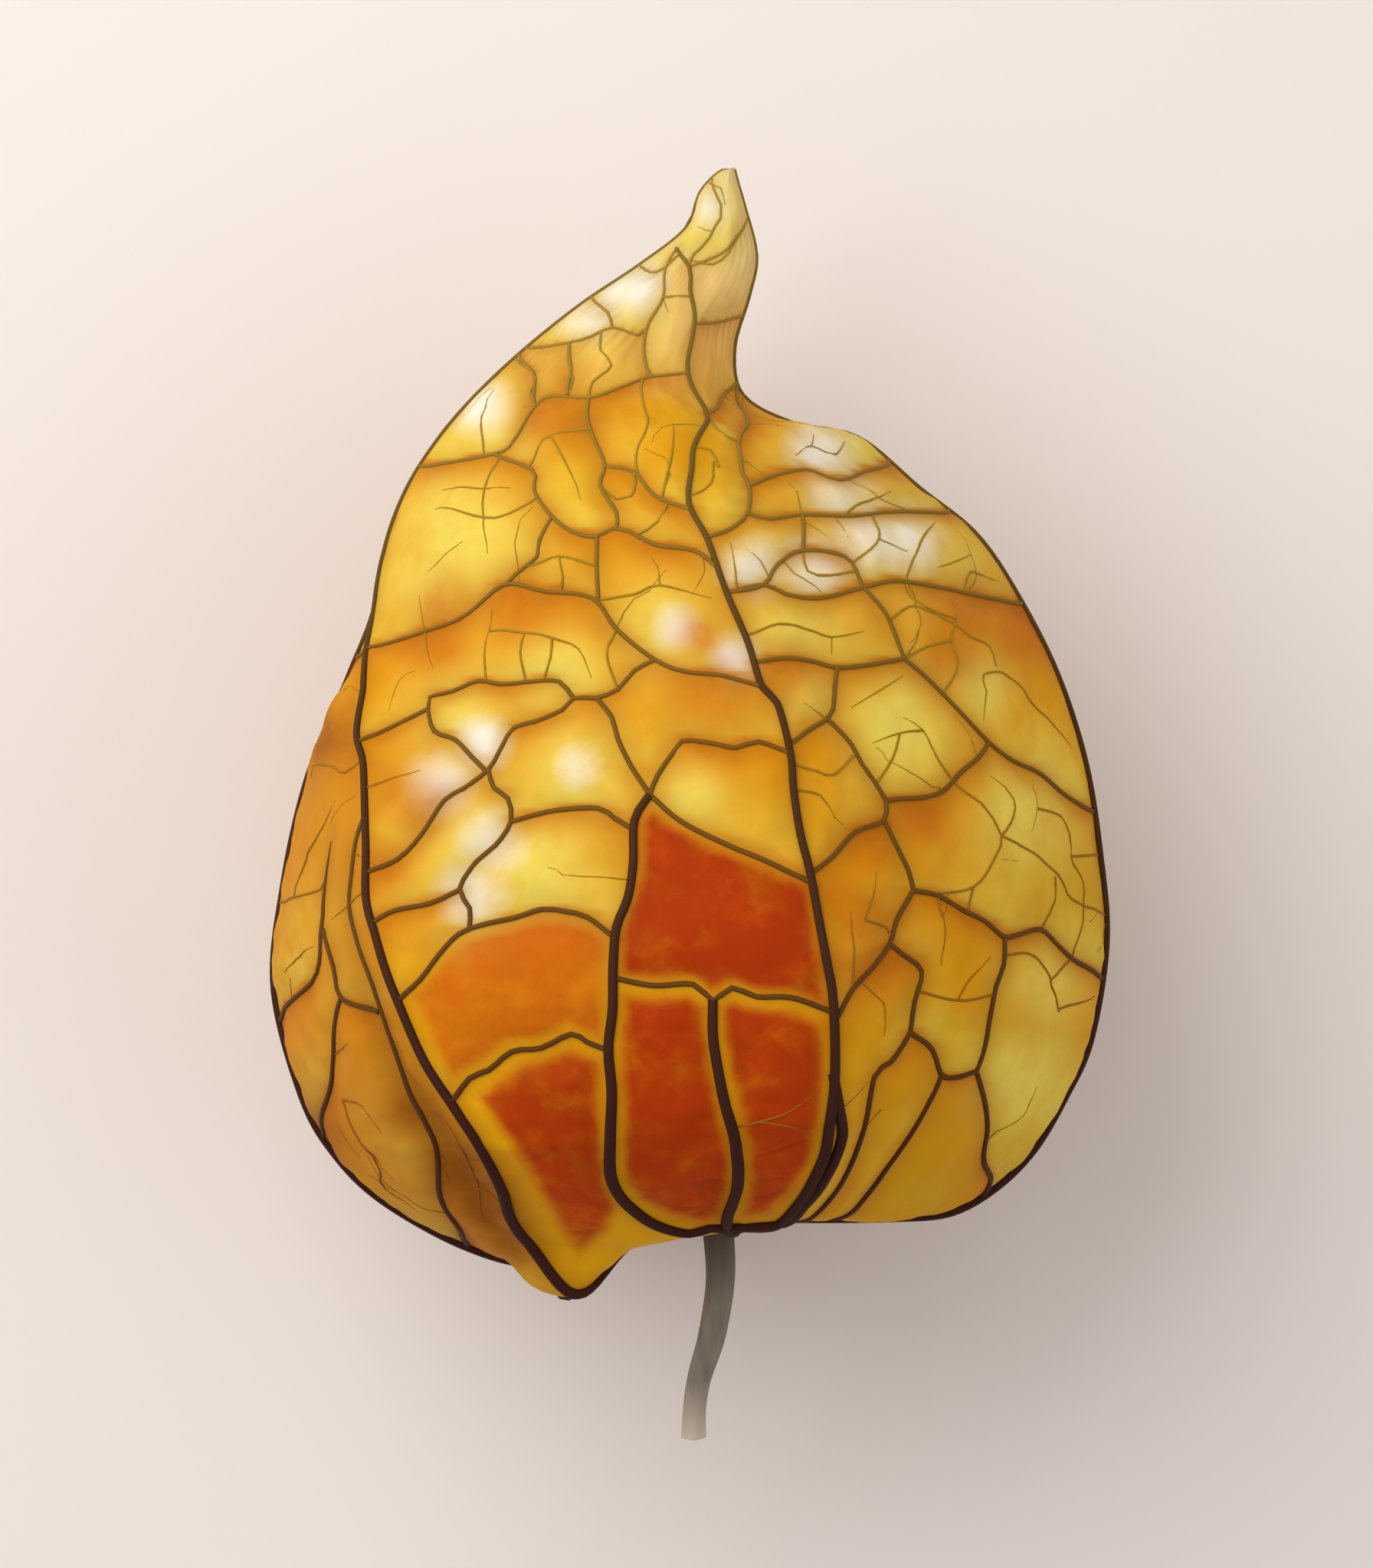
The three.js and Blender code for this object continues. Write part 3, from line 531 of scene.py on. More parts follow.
def slice_radius(rows, angles):
    """How far a slice of the husk reaches from its middle: a circle with five low corners."""
    radius = np.ones(np.broadcast(rows, angles).shape)
    for corner in CORNERS:
        radius += RIDGE_RISE * hump(degrees_between(angles, track(corner, rows)), RIDGE_SPREAD)
    return radius


LEFT_EDGE = np.array([from_photo(x, y) for x, y in OUTLINE[:, :2]])
RIGHT_EDGE = np.array([from_photo(x, y) for x, y in OUTLINE[:, 2:]])
REACH_ROWS = np.linspace(0, LAST_ROW, REACH_SAMPLES)
REACH_SIDES = slice_radius(REACH_ROWS[:, None], REACH_ANGLES) * np.cos(np.radians(REACH_ANGLES))
LEAST_SIDE = REACH_SIDES.min(axis=1)
MOST_SIDE = REACH_SIDES.max(axis=1)


def skin(rows, angles, chin_drop=CHIN_DROP):
    """Points of the husk's skin: row 0 is its base, the last row its tip and 0 degrees its right side."""
    rows = np.asarray(rows, float)
    angles = np.asarray(angles, float)
    left = along_line(LEFT_EDGE, rows)
    right = along_line(RIGHT_EDGE, rows)
    radius = slice_radius(rows, angles)
    turn = np.radians(angles)
    least = np.interp(rows, REACH_ROWS, LEAST_SIDE)
    most = np.interp(rows, REACH_ROWS, MOST_SIDE)
    across = np.clip((radius * np.cos(turn) - least) / (most - least), 0, 1)
    bow = 1 + BOW * hump(rows - CHIN_ROW, BOW_ROWS)
    half_depth = track(DEPTHS, rows) * np.linalg.norm(right - left, axis=-1) / 2
    corner = degrees_between(angles, track(FRONT_LEFT_CORNER, rows))
    chin = chin_drop * hump(rows - CHIN_ROW, CHIN_ROWS) * hump(corner, CHIN_SPREAD)
    span = right - left
    return np.stack([
        left[..., 0] + span[..., 0] * across,
        left[..., 1] + span[..., 1] * (1 - (1 - across) ** bow) - chin,
        AXIS_HEIGHT + half_depth * radius * np.sin(turn),
    ], axis=-1)


def skin_normal(rows, angles):
    """Which way the skin faces, outwards."""
    rows = np.asarray(rows, float)
    angles = np.asarray(angles)
    along = (skin(np.minimum(rows + NORMAL_ROWS, LAST_ROW), angles, 0)
             - skin(np.maximum(rows - NORMAL_ROWS, 0), angles, 0))
    round_it = skin(rows, angles + NORMAL_DEGREES, 0) - skin(rows, angles - NORMAL_DEGREES, 0)
    normal = np.cross(along, round_it)
    return normal / np.maximum(np.linalg.norm(normal, axis=-1, keepdims=True), TINY)


def row_and_angle(pixels):
    """The skin's rows and angles under pixels of the photograph."""
    seen_rows = np.linspace(SHOULDER_ROW, LAST_ROW, (LAST_ROW - SHOULDER_ROW) * SEARCH_PARTS + 1)
    rows, angles = np.meshgrid(seen_rows, SEARCH_ANGLES, indexing="ij")
    reach = skin(rows, angles)[..., :2].reshape(-1, 2)
    target = np.array([from_photo(x, y)[:2] for x, y in pixels])
    nearest = np.array([np.argmin(((reach - t) ** 2).sum(axis=1)) for t in target])
    row, angle = rows.ravel()[nearest], angles.ravel()[nearest]
    pick = np.arange(len(row))
    for step in FINER_STEPS:
        near_rows, near_angles = np.meshgrid(TRIES * step, TRIES * step * DEGREES_PER_ROW, indexing="ij")
        try_rows = np.clip(row[:, None] + near_rows.ravel(), SHOULDER_ROW, LAST_ROW)
        try_angles = angle[:, None] + near_angles.ravel()
        miss = ((skin(try_rows, try_angles)[..., :2] - target[:, None]) ** 2).sum(axis=2)
        best = miss.argmin(axis=1)
        row, angle = try_rows[pick, best], try_angles[pick, best]
    return np.stack([row, angle], axis=1)


def scatter(seed):
    """A fixed number between -0.5 and 0.5 for each seed."""
    wave = math.sin(seed * SCATTER_STEP) * SCATTER_SIZE
    return wave - math.floor(wave) - 0.5


def left_edge_angle(row):
    """Where the rib along the outline's left side runs: the lobe's below, the front left one above."""
    if row > LOBE_RIB_END:
        return np.interp(row, LEFT_EDGE_RIB[::-1, 0], LEFT_EDGE_RIB[::-1, 1]) - 360
    return np.interp(row, LOBE_RIB[:, 0], LOBE_RIB[:, 1])


def far_rib_angle(rib, row):
    """Where a far rib runs, counted from the right edge round to the left one."""
    if rib == len(FAR_RIBS):
        return left_edge_angle(row)
    return FAR_RIBS[rib] + RIB_WOBBLE * math.sin(row * WOBBLE_PER_ROW + rib * WOBBLE_PER_RIB)


def far_veins():
    """The far side's ribs, from the right edge round to the lobe's, and the veins between them."""
    gaps = range(len(FAR_RIBS))
    ribs = [np.array([(row, far_rib_angle(rib, row)) for row in FAR_RIB_ROWS]) for rib in gaps]
    ribs.append(LOBE_RIB)
    rungs = []
    for gap in gaps:
        middles = []
        for i, base in enumerate(RUNG_ROWS):
            seed = gap * SEEDS_PER_GAP + i
            start = base + RUNG_SCATTER * scatter(seed)
            end = base + RUNG_SCATTER * scatter(seed + END_SEED)
            middle = (start + end) / 2 - RUNG_BOW + MIDDLE_SCATTER * scatter(seed + MIDDLE_SEED)
            share = 0.5 + SHARE_SCATTER * scatter(seed + SHARE_SEED)
            left = far_rib_angle(gap, start)
            right = far_rib_angle(gap + 1, end)
            bend = (middle, left + (right - left) * share)
            middles.append(bend)
            rungs.append(np.array([(start, left), bend, (end, right)]))
        for i in range(gap % 2, len(middles) - 1, 2):
            rungs.append(np.array([middles[i], middles[i + 1]]))
    return ribs, rungs + [CHIN_EDGE]


def smooth_route(places):
    """Rows and angles along a curve through the places, a step apart on the skin."""
    with_ends = np.vstack([2 * places[0] - places[1], places, 2 * places[-1] - places[-2]])
    route = []
    for i in range(len(places) - 1):
        before, here, there, after = with_ends[i:i + 4]
        length = np.linalg.norm(skin(*there) - skin(*here))
        count = max(int(length / STEP), 1)
        route.append(curved(before, here, there, after, (np.arange(count) / count)[:, None]))
    route.append(places[-1:])
    return np.vstack(route)


class Track:
    """One vein: its rows and angles on the skin and its radius at each."""

    def __init__(self, route, radii):
        self.route = route
        self.radii = radii
        self.points = skin(route[:, 0], route[:, 1])


def carried_under(places, end_row):
    """A vein that reaches the shoulder runs on under it, straight towards the stem."""
    row, angle = places[-1]
    if row > SHOULDER_ROW + SHOULDER_REACH:
        return places
    rows = np.linspace(min(row, SHOULDER_ROW), end_row, UNDER_STEPS + 1)[1:]
    return np.vstack([places, np.stack([rows, np.full(UNDER_STEPS, angle)], axis=1)])


def to_the_sides(places):
    """A vein that ends near the outline ends on the rib that runs along it."""
    for end in (0, -1):
        row, angle = places[end]
        if angle < RIGHT_SIDE:
            places[end, 1] = far_rib_angle(0, row)
        if angle > LEFT_SIDE:
            places[end, 1] = left_edge_angle(row) + 360
    return places


def joined(places, spots, reach):
    """A vein that ends close to another ends on it."""
    there = skin(spots[:, 0], spots[:, 1])
    for end in (0, -1):
        if places[end, 0] < SHOULDER_ROW + SHOULDER_REACH:
            continue
        away = np.linalg.norm(there - skin(*places[end]), axis=1)
        nearest = away.argmin()
        if away[nearest] < reach:
            row, angle = spots[nearest]
            places[end] = row, angle + 360 * round((places[end, 1] - angle) / 360)
    return places


def thinning(routes, spots):
    """How thick each vein is along its length: one that ends clear of all others runs out to a point."""
    lines = [skin(route[:, 0], route[:, 1]) for route in routes]
    points = np.vstack(lines + [skin(spots[:, 0], spots[:, 1])])
    owner = np.repeat(np.arange(len(lines) + 1), [len(line) for line in lines] + [len(spots)])
    shares = []
    for i, line in enumerate(lines):
        way = np.concatenate([[0], np.cumsum(np.linalg.norm(np.diff(line, axis=0), axis=1))])
        share = np.ones(len(line))
        for end, distance in ((0, way), (-1, way[-1] - way)):
            if np.linalg.norm(points[owner != i] - line[end], axis=1).min() > MEETING:
                share *= np.interp(distance, (0, TAPER), (THIN_END, 1))
        shares.append(share)
    return shares


def all_veins():
    """The ribs and the net, which run on under the shoulder to the stem, and the fine veins."""
    far_ribs, rungs = far_veins()
    left_rib, *other_ribs = [row_and_angle(pixels) for pixels in FRONT_RIBS]
    rib_places = [carried_under(np.vstack([LEFT_EDGE_RIB, left_rib]), RIB_END_ROW)]
    rib_places += [np.vstack([places, HEEL]) for places in other_ribs] + far_ribs
    rib_routes = [smooth_route(places) for places in rib_places]
    on_ribs = np.vstack(rib_routes)
    net_places = [joined(to_the_sides(row_and_angle(pixels)), on_ribs, RIB_REACH) for pixels in FRONT_VEINS]
    net_places = [carried_under(places, NET_END_ROW) for places in net_places] + rungs
    net_routes = [smooth_route(places) for places in net_places]
    on_net = np.vstack(net_routes + rib_routes)
    fine_places = [joined(row_and_angle(pixels), on_net, NET_REACH) for pixels in FINE_VEINS]
    fine_routes = [smooth_route(places) for places in fine_places]
    return (
        [Track(route, track(RIB_RADII, route[:, 0]) * MM) for route in rib_routes],
        [Track(route, track(NET_RADII, route[:, 0]) * MM * share)
         for route, share in zip(net_routes, thinning(net_routes, on_ribs))],
        [Track(route, FINE_RADIUS * share)
         for route, share in zip(fine_routes, thinning(fine_routes, on_net))],
    )


def tree_of(tracks):
    """Finds the nearest point of any of the veins."""
    points = np.vstack([vein.points for vein in tracks])
    tree = kdtree.KDTree(len(points))
    for i, point in enumerate(points):
        tree.insert(point, i)
    tree.balance()
    return tree


ribs, net, fine = all_veins()
rib_tree = tree_of(ribs)
net_tree = tree_of(net)


def fold(rows, angles):
    """1 in the crease on the left of the front left rib, where the lobe behind tucks in."""
    rib = ribs[0].route
    order = np.argsort(rib[:, 0])
    beside = degrees_between(angles, np.interp(rows, rib[order, 0], rib[order, 1]))
    return track(FOLD_SHARE, rows) * hump(beside - FOLD_ANGLE, FOLD_SPREAD)


def crinkle(point):
    """How high the paper stands at a point, from coarse and fine crinkles."""
    place = Vector(point) / CRINKLE_SIZE
    return noise.noise(place) + FINE_CRINKLE * noise.noise(place * FINE_CRINKLE_RATIO)


def quilted(rows, angles):
    """The skin with its veins drawn in, its panels puffed out and its surface crinkled."""
    points = skin(rows, angles)
    to_net = np.array([net_tree.find(point)[2] for point in points])
    to_rib = np.array([rib_tree.find(point)[2] for point in points])
    near = np.minimum(to_net, to_rib)
    crinkles = np.array([crinkle(point) for point in points])
    lift = -QUILT_DEPTH * hump(near, QUILT_SPREAD) + RIB_CREST * hump(to_rib, RIB_SPREAD)
    lift += CRINKLE * crinkles * (1 - hump(near, QUILT_SPREAD / 2))
    lift -= FOLD_DEPTH * fold(rows, angles)
    points = points + skin_normal(rows, angles) * lift[:, None]
    points[:, 2] = np.maximum(points[:, 2], 0)
    return points, near


def consistent(piece):
    """Turns all the faces of a piece outwards."""
    bpy.context.view_layer.objects.active = piece
    bpy.ops.object.mode_set(mode="EDIT")
    bpy.ops.mesh.select_all(action="SELECT")
    bpy.ops.mesh.normals_make_consistent(inside=False)
    bpy.ops.object.mode_set(mode="OBJECT")


def shaped_ball(name, segments, rings, place):
    """A ball whose rings are laid along a body: place takes shares of the way along, and degrees."""
    bpy.ops.object.select_all(action="DESELECT")
    bpy.ops.mesh.primitive_uv_sphere_add(segments=segments, ring_count=rings, radius=1)
    piece = bpy.context.object
    piece.name = piece.data.name = name
    ball = np.empty(len(piece.data.vertices) * 3)
    piece.data.vertices.foreach_get("co", ball)
    ball = ball.reshape(-1, 3)
    along = np.arccos(np.clip(ball[:, 2], -1, 1)) / math.pi
    angles = np.degrees(np.arctan2(ball[:, 1], ball[:, 0])) % 360
    piece.data.vertices.foreach_set("co", place(along, angles).ravel())
    consistent(piece)
    bpy.ops.object.shade_smooth()
    return piece


# The skin's rings lie a constant way apart along it.
ROW_STEPS = np.linspace(0, LAST_ROW, ROW_SAMPLES)
MIDDLE_WAY = skin(ROW_STEPS, WAY_ANGLE)
WAY = np.concatenate([[0], np.cumsum(np.linalg.norm(np.diff(MIDDLE_WAY, axis=0), axis=1))])
skin_fields = {}


def on_skin(along, angles):
    """The husk's relief, with what its colours need to know kept aside."""
    rows = np.interp(along * WAY[-1], WAY, ROW_STEPS)
    points, near = quilted(rows, angles)
    ring = np.rint(along * SKIN_RINGS).astype(int)
    segment = np.rint(angles / 360 * SKIN_SEGMENTS).astype(int) % SKIN_SEGMENTS
    skin_fields.update(rows=rows, angles=angles, near=near, points=points, ring=ring, segment=segment)
    return points


husk_skin = shaped_ball("husk_skin", SKIN_SEGMENTS, SKIN_RINGS, on_skin)


def washed(places):
    """How strongly each point on the photographed side lies in any of the places."""
    strength = np.zeros(len(skin_points))
    for x, y, radius in places:
        middle = from_photo(x, y)
        away = np.hypot(skin_points[:, 0] - middle.x, skin_points[:, 1] - middle.y)
        strength = np.maximum(strength, hump(away, radius * PIXEL))
    return strength * facing


def inside(points, polygons, edge):
    """How far each point is inside any of the polygons, seen from above: 1 from an edge's width in."""
    strength = np.zeros(len(points))
    for corners in polygons:
        loop = np.array([from_photo(x, y)[:2] for x, y in corners])
        away = np.full(len(points), np.inf)
        crossed = np.zeros(len(points), bool)
        for a, b in zip(loop, np.roll(loop, -1, axis=0)):
            side = b - a
            to_point = points[:, :2] - a
            share = np.clip(to_point @ side / (side @ side), 0, 1)
            away = np.minimum(away, np.linalg.norm(to_point - share[:, None] * side, axis=1))
            spans = (a[1] > points[:, 1]) != (b[1] > points[:, 1])
            crossed ^= spans & (to_point[:, 0] < side[0] * to_point[:, 1] / (side[1] or TINY))
        strength = np.maximum(strength, np.where(crossed, np.clip(away / (edge * PIXEL), 0, 1), 0))
    return strength


def trailing(marked):
    """Marks on the rings of the skin, each fading over the rings that follow it."""
    fade = math.exp(-WAY[-1] / SKIN_RINGS / PAINTED_LIGHT_REACH)
    held = np.zeros(SKIN_SEGMENTS)
    shares = np.zeros(marked.shape)
    for ring, mark in enumerate(marked):
        held = np.maximum(held * fade, mark)
        shares[ring] = held
    for _ in range(SMOOTHINGS):
        shares = (np.roll(shares, 1, axis=1) + shares * 2 + np.roll(shares, -1, axis=1)) / 4
    return shares


def beside_veins():
    """Where painted shade lies just below a cross vein and painted highlight just above one: 1 there, each
    fading along the husk.
    """
    ring_rows = np.interp(np.arange(SKIN_RINGS + 1) / SKIN_RINGS * WAY[-1], WAY, ROW_STEPS)
    marks = np.zeros((SKIN_RINGS + 1, SKIN_SEGMENTS))
    for vein in net:
        step = np.gradient(vein.points, axis=0)
        across = np.hypot(step[:, 0], step[:, 2]) / np.maximum(np.linalg.norm(step, axis=1), TINY)
        ring = np.clip(np.searchsorted(ring_rows, vein.route[:, 0]), 0, SKIN_RINGS)
        segment = np.rint(vein.route[:, 1] / 360 * SKIN_SEGMENTS).astype(int)
        for shift in (-1, 0, 1):
            np.maximum.at(marks, (ring, (segment + shift) % SKIN_SEGMENTS), across)
    at = skin_fields["ring"], skin_fields["segment"]
    return trailing(marks[::-1])[::-1][at], trailing(marks)[at]


skin_points = skin_fields["points"]
facing = np.clip((skin_points[:, 2] - AXIS_HEIGHT) / FACING_DEPTH + FACING_SHARE, 0, 1)
# Painted shade just below the cross veins and painted highlight just above them
under, over = beside_veins()
clear_of_painted_shade = 1 - VEINED_SHARE * under**2
for name, values in (
    ("painted_shade_below_veins", under),
    ("painted_highlight_above_veins", over),
    ("near", hump(skin_fields["near"], NEAR_SPREAD)),
    ("painted_cream_highlight", washed(PAINTED_CREAM_HIGHLIGHTS) * clear_of_painted_shade),
    ("painted_lemon_highlight", washed(PAINTED_LEMON_HIGHLIGHTS) * clear_of_painted_shade),
    ("painted_deep_shade", washed(PAINTED_DEEP_SHADE)),
    ("green", washed(GREEN)),
    ("painted_umber_shade", washed(PAINTED_UMBER_SHADE)),
    ("glow", inside(skin_points, GLOWING, GLOW_EDGE) * facing),
    ("amber", inside(skin_points, AMBER, AMBER_EDGE) * facing),
    ("yellow", inside(skin_points, YELLOW, YELLOW_EDGE) * facing),
    ("ochre", inside(skin_points, LOBE, LOBE_EDGE) * facing),
    ("fold", fold(skin_fields["rows"], skin_fields["angles"])),
    ("straw", np.clip((skin_fields["rows"] - STRAW_ROW) / STRAW_ROWS, 0, 1)),
):
    attribute = husk_skin.data.attributes.new(name, "FLOAT", "POINT")
    attribute.data.foreach_set("value", values)


def wander(rng, heading, row, angle, length, radius, forks, found):
    """A crooked walk over the skin from a vein, thinning out and forking into twigs."""
    places = [(row, angle)]
    for step in range(int(length / STEP)):
        here = skin(row, angle)
        along = Vector(skin(row + ROW_NUDGE, angle) - here) / ROW_NUDGE
        round_it = Vector(skin(row, angle + TURN_NUDGE) - here) / TURN_NUDGE
        normal = along.cross(round_it).normalized()
        if rng.random() < KINK_CHANCE:
            turn = rng.choice((-1, 1)) * rng.uniform(*KINKS)
        else:
            turn = rng.uniform(-SWAY, SWAY)
        side = normal.cross(heading)
        heading = heading + side * turn
        heading = (heading - normal * heading.dot(normal)).normalized()
        row_row, row_turn, turn_turn = along.dot(along), along.dot(round_it), round_it.dot(round_it)
        to_row, to_turn = along.dot(heading) * STEP, round_it.dot(heading) * STEP
        wide = row_row * turn_turn - row_turn * row_turn
        if wide <= 0:
            break
        row += (to_row * turn_turn - to_turn * row_turn) / wide
        angle += (to_turn * row_row - to_row * row_turn) / wide
        if row < LAST_BASE_ROWS or row > LAST_ROW - LAST_TIP_ROWS:
            break
        places.append((row, angle))
        spot = Vector(skin(row, angle))
        if step > FREE_STEPS and min(net_tree.find(spot)[2], rib_tree.find(spot)[2]) < MEETING:
            break
        if forks and step > FREE_STEPS and rng.random() < FORK_CHANCE:
            aside = (heading + side * rng.choice((-1, 1))).normalized()
            wander(rng, aside, row, angle, length * TWIG_LENGTH, radius * TWIG_RADIUS, forks - 1, found)
    if len(places) >= LEAST_PLACES:
        found.append(Track(np.array(places), radius * np.linspace(1, VEINLET_END, len(places))))


def grow_veinlets():
    """Veinlets that sprout from the veins, a few of them on the near side's plain panels."""
    rng = random.Random(SEED)
    found = []
    for vein in net + ribs:
        walked = rng.uniform(*FIRST_SPROUT) * MM
        for i, (row, angle) in enumerate(vein.route[1:], 1):
            walked -= STEP
            if walked > 0:
                continue
            walked = rng.uniform(*SPROUTS) * MM
            if row < BARE_BASE_ROWS or row > LAST_ROW - BARE_TIP_ROWS:
                continue
            normal = Vector(skin_normal(row, angle))
            ahead = (Vector(vein.points[i]) - Vector(vein.points[i - 1])).normalized()
            side = normal.cross(ahead).normalized() * rng.choice((-1, 1))
            heading = (side + ahead * rng.uniform(-SLANT, SLANT)).normalized()
            length = rng.uniform(*VEINLET_LENGTHS) * MM
            radius = VEINLET_RADIUS * rng.uniform(*VEINLET_THICKNESS)
            wander(rng, heading, row, angle, length, radius, FORKS, found)
    middles = np.array([vein.points[len(vein.points) // 2] for vein in found])
    glowing = inside(middles, GLOWING + AMBER, 1)
    return [vein for vein, z, lit in zip(found, middles[:, 2], glowing)
            if z < AXIS_HEIGHT or (not lit and rng.random() < FRONT_SHARE)]


def drawn(name, tracks, sides, raised):
    """A tube along each track, as one mesh."""
    curve = bpy.data.curves.new(name, "CURVE")
    curve.dimensions = "3D"
    curve.bevel_depth = 1
    # A bevel has four sides, and two more for each level.
    curve.bevel_resolution = sides // 2 - 2
    curve.use_fill_caps = True
    for vein in tracks:
        points, _ = quilted(vein.route[:, 0], vein.route[:, 1])
        normals = skin_normal(vein.route[:, 0], vein.route[:, 1])
        points = points + normals * (vein.radii * raised)[:, None]
        points[:, 2] = np.maximum(points[:, 2], vein.radii)
        spline = curve.splines.new("POLY")
        spline.points.add(len(points) - 1)
        spline.points.foreach_set("co", np.hstack([points, np.ones((len(points), 1))]).ravel())
        spline.points.foreach_set("radius", vein.radii)
    piece = bpy.data.objects.new(name, curve)
    bpy.context.collection.objects.link(piece)
    bpy.ops.object.select_all(action="DESELECT")
    piece.select_set(True)
    bpy.context.view_layer.objects.active = piece
    bpy.ops.object.convert(target="MESH")
    piece = bpy.context.object
    piece.name = piece.data.name = name
    bpy.ops.object.shade_smooth()
    return piece


husk_ribs = drawn("husk_ribs", ribs, RIB_SIDES, RAISED)
husk_net = drawn("husk_net", net, NET_SIDES, RAISED)
husk_veinlets = drawn("husk_veinlets", fine + grow_veinlets(), VEINLET_SIDES, VEINLETS_RAISED)

# The berry hangs from the inner end of the stem, leaning to the left.
seat = from_photo(*STEM_ROUTE[0])
berry_axis = Vector((-math.sin(BERRY_LEAN), math.cos(BERRY_LEAN), 0))
berry_middle = seat + berry_axis * (BERRY_RADIUS * BERRY_FLATTENING + GAP)
berry_side = Vector((berry_axis.y, -berry_axis.x, 0))


def on_berry(along, angles):
    """A slightly flattened ball, dented at the stem and dimpled at the far end."""
    depth = DENT_DEPTH * hump(along, DENT_SPREAD) + DIMPLE_DEPTH * hump(along - 1, DIMPLE_SPREAD)
    radius = BERRY_RADIUS - depth
    axial = -np.cos(math.pi * along) * radius * BERRY_FLATTENING
    out = np.sin(math.pi * along) * radius
    side = np.outer(out * np.cos(np.radians(angles)), berry_side)
    up = np.outer(out * np.sin(np.radians(angles)), (0, 0, 1))
    return np.array(berry_middle) + np.outer(axial, berry_axis) + side + up


berry = shaped_ball("berry_fruit", BERRY_SEGMENTS, BERRY_RINGS, on_berry)

# The stem runs from under the berry, out of the husk's base and down to its cut end.
last_point = len(STEM_ROUTE) - 1
stem_line = np.array([from_photo(x, y, AXIS_HEIGHT - STEM_DROOP * (i / last_point) ** 2)
                      for i, (x, y) in enumerate(STEM_ROUTE)])


def on_stem(along, angles):
    """A ridged, tapering stalk with rounded ends."""
    t = np.clip((along - STEM_CAP) / (1 - 2 * STEM_CAP), 0, 1) * last_point
    middle = along_line(stem_line, t)
    ahead = along_line(stem_line, t + STEM_NUDGE) - along_line(stem_line, t - STEM_NUDGE)
    ahead /= np.linalg.norm(ahead, axis=1, keepdims=True)
    side = np.cross(ahead, (0, 0, 1))
    side /= np.linalg.norm(side, axis=1, keepdims=True)
    up = np.cross(side, ahead)
    turn = np.radians(angles)
    radius = np.interp(t, np.arange(len(STEM_RADII)), STEM_RADII) * MM
    radius = radius * (1 + STEM_RIDGE_RISE * np.cos(STEM_RIDGES * turn + t * STEM_TWIST))
    radius = radius * np.clip(np.minimum(along, 1 - along) / STEM_CAP, 0, 1) ** 0.5
    return middle + side * (radius * np.cos(turn))[:, None] + up * (radius * np.sin(turn))[:, None]


stem = shaped_ball("stem_stalk", STEM_SEGMENTS, STEM_RINGS, on_stem)

def linear(hex_colour):
    """An sRGB colour as the linear values that shaders take, by the standard's own formula."""
    channels = [int(hex_colour[i:i + 2], 16) / 255 for i in (1, 3, 5)]
    return tuple(c / 12.92 if c <= 0.04045 else ((c + 0.055) / 1.055) ** 2.4 for c in channels) + (1.0,)


def add(tree, kind, inputs=None, output=0, **settings):
    """Adds a node with its settings, its inputs set or linked, and gives the output that goes on."""
    made = tree.nodes.new("ShaderNode" + kind)
    for name, value in settings.items():
        setattr(made, name, value)
    for name, value in (inputs or {}).items():
        if isinstance(value, bpy.types.NodeSocket):
            tree.links.new(value, made.inputs[name])
        else:
            made.inputs[name].default_value = value
    return made.outputs[output] if made.outputs else None


def new_material(name):
    """An empty material and its tree of nodes."""
    material = bpy.data.materials.new(name)
    material.use_nodes = True
    material.node_tree.nodes.clear()
    return material, material.node_tree


def painted(tree, start, layers):
    """A colour with others laid over it, each by its own share."""
    colour = linear(start)
    for hex_colour, share in layers:
        colour = add(tree, "Mix", {MIX_FACTOR: share, MIX_UNDER: colour, MIX_OVER: linear(hex_colour)},
                     MIX_RESULT, data_type="RGBA")
    return colour


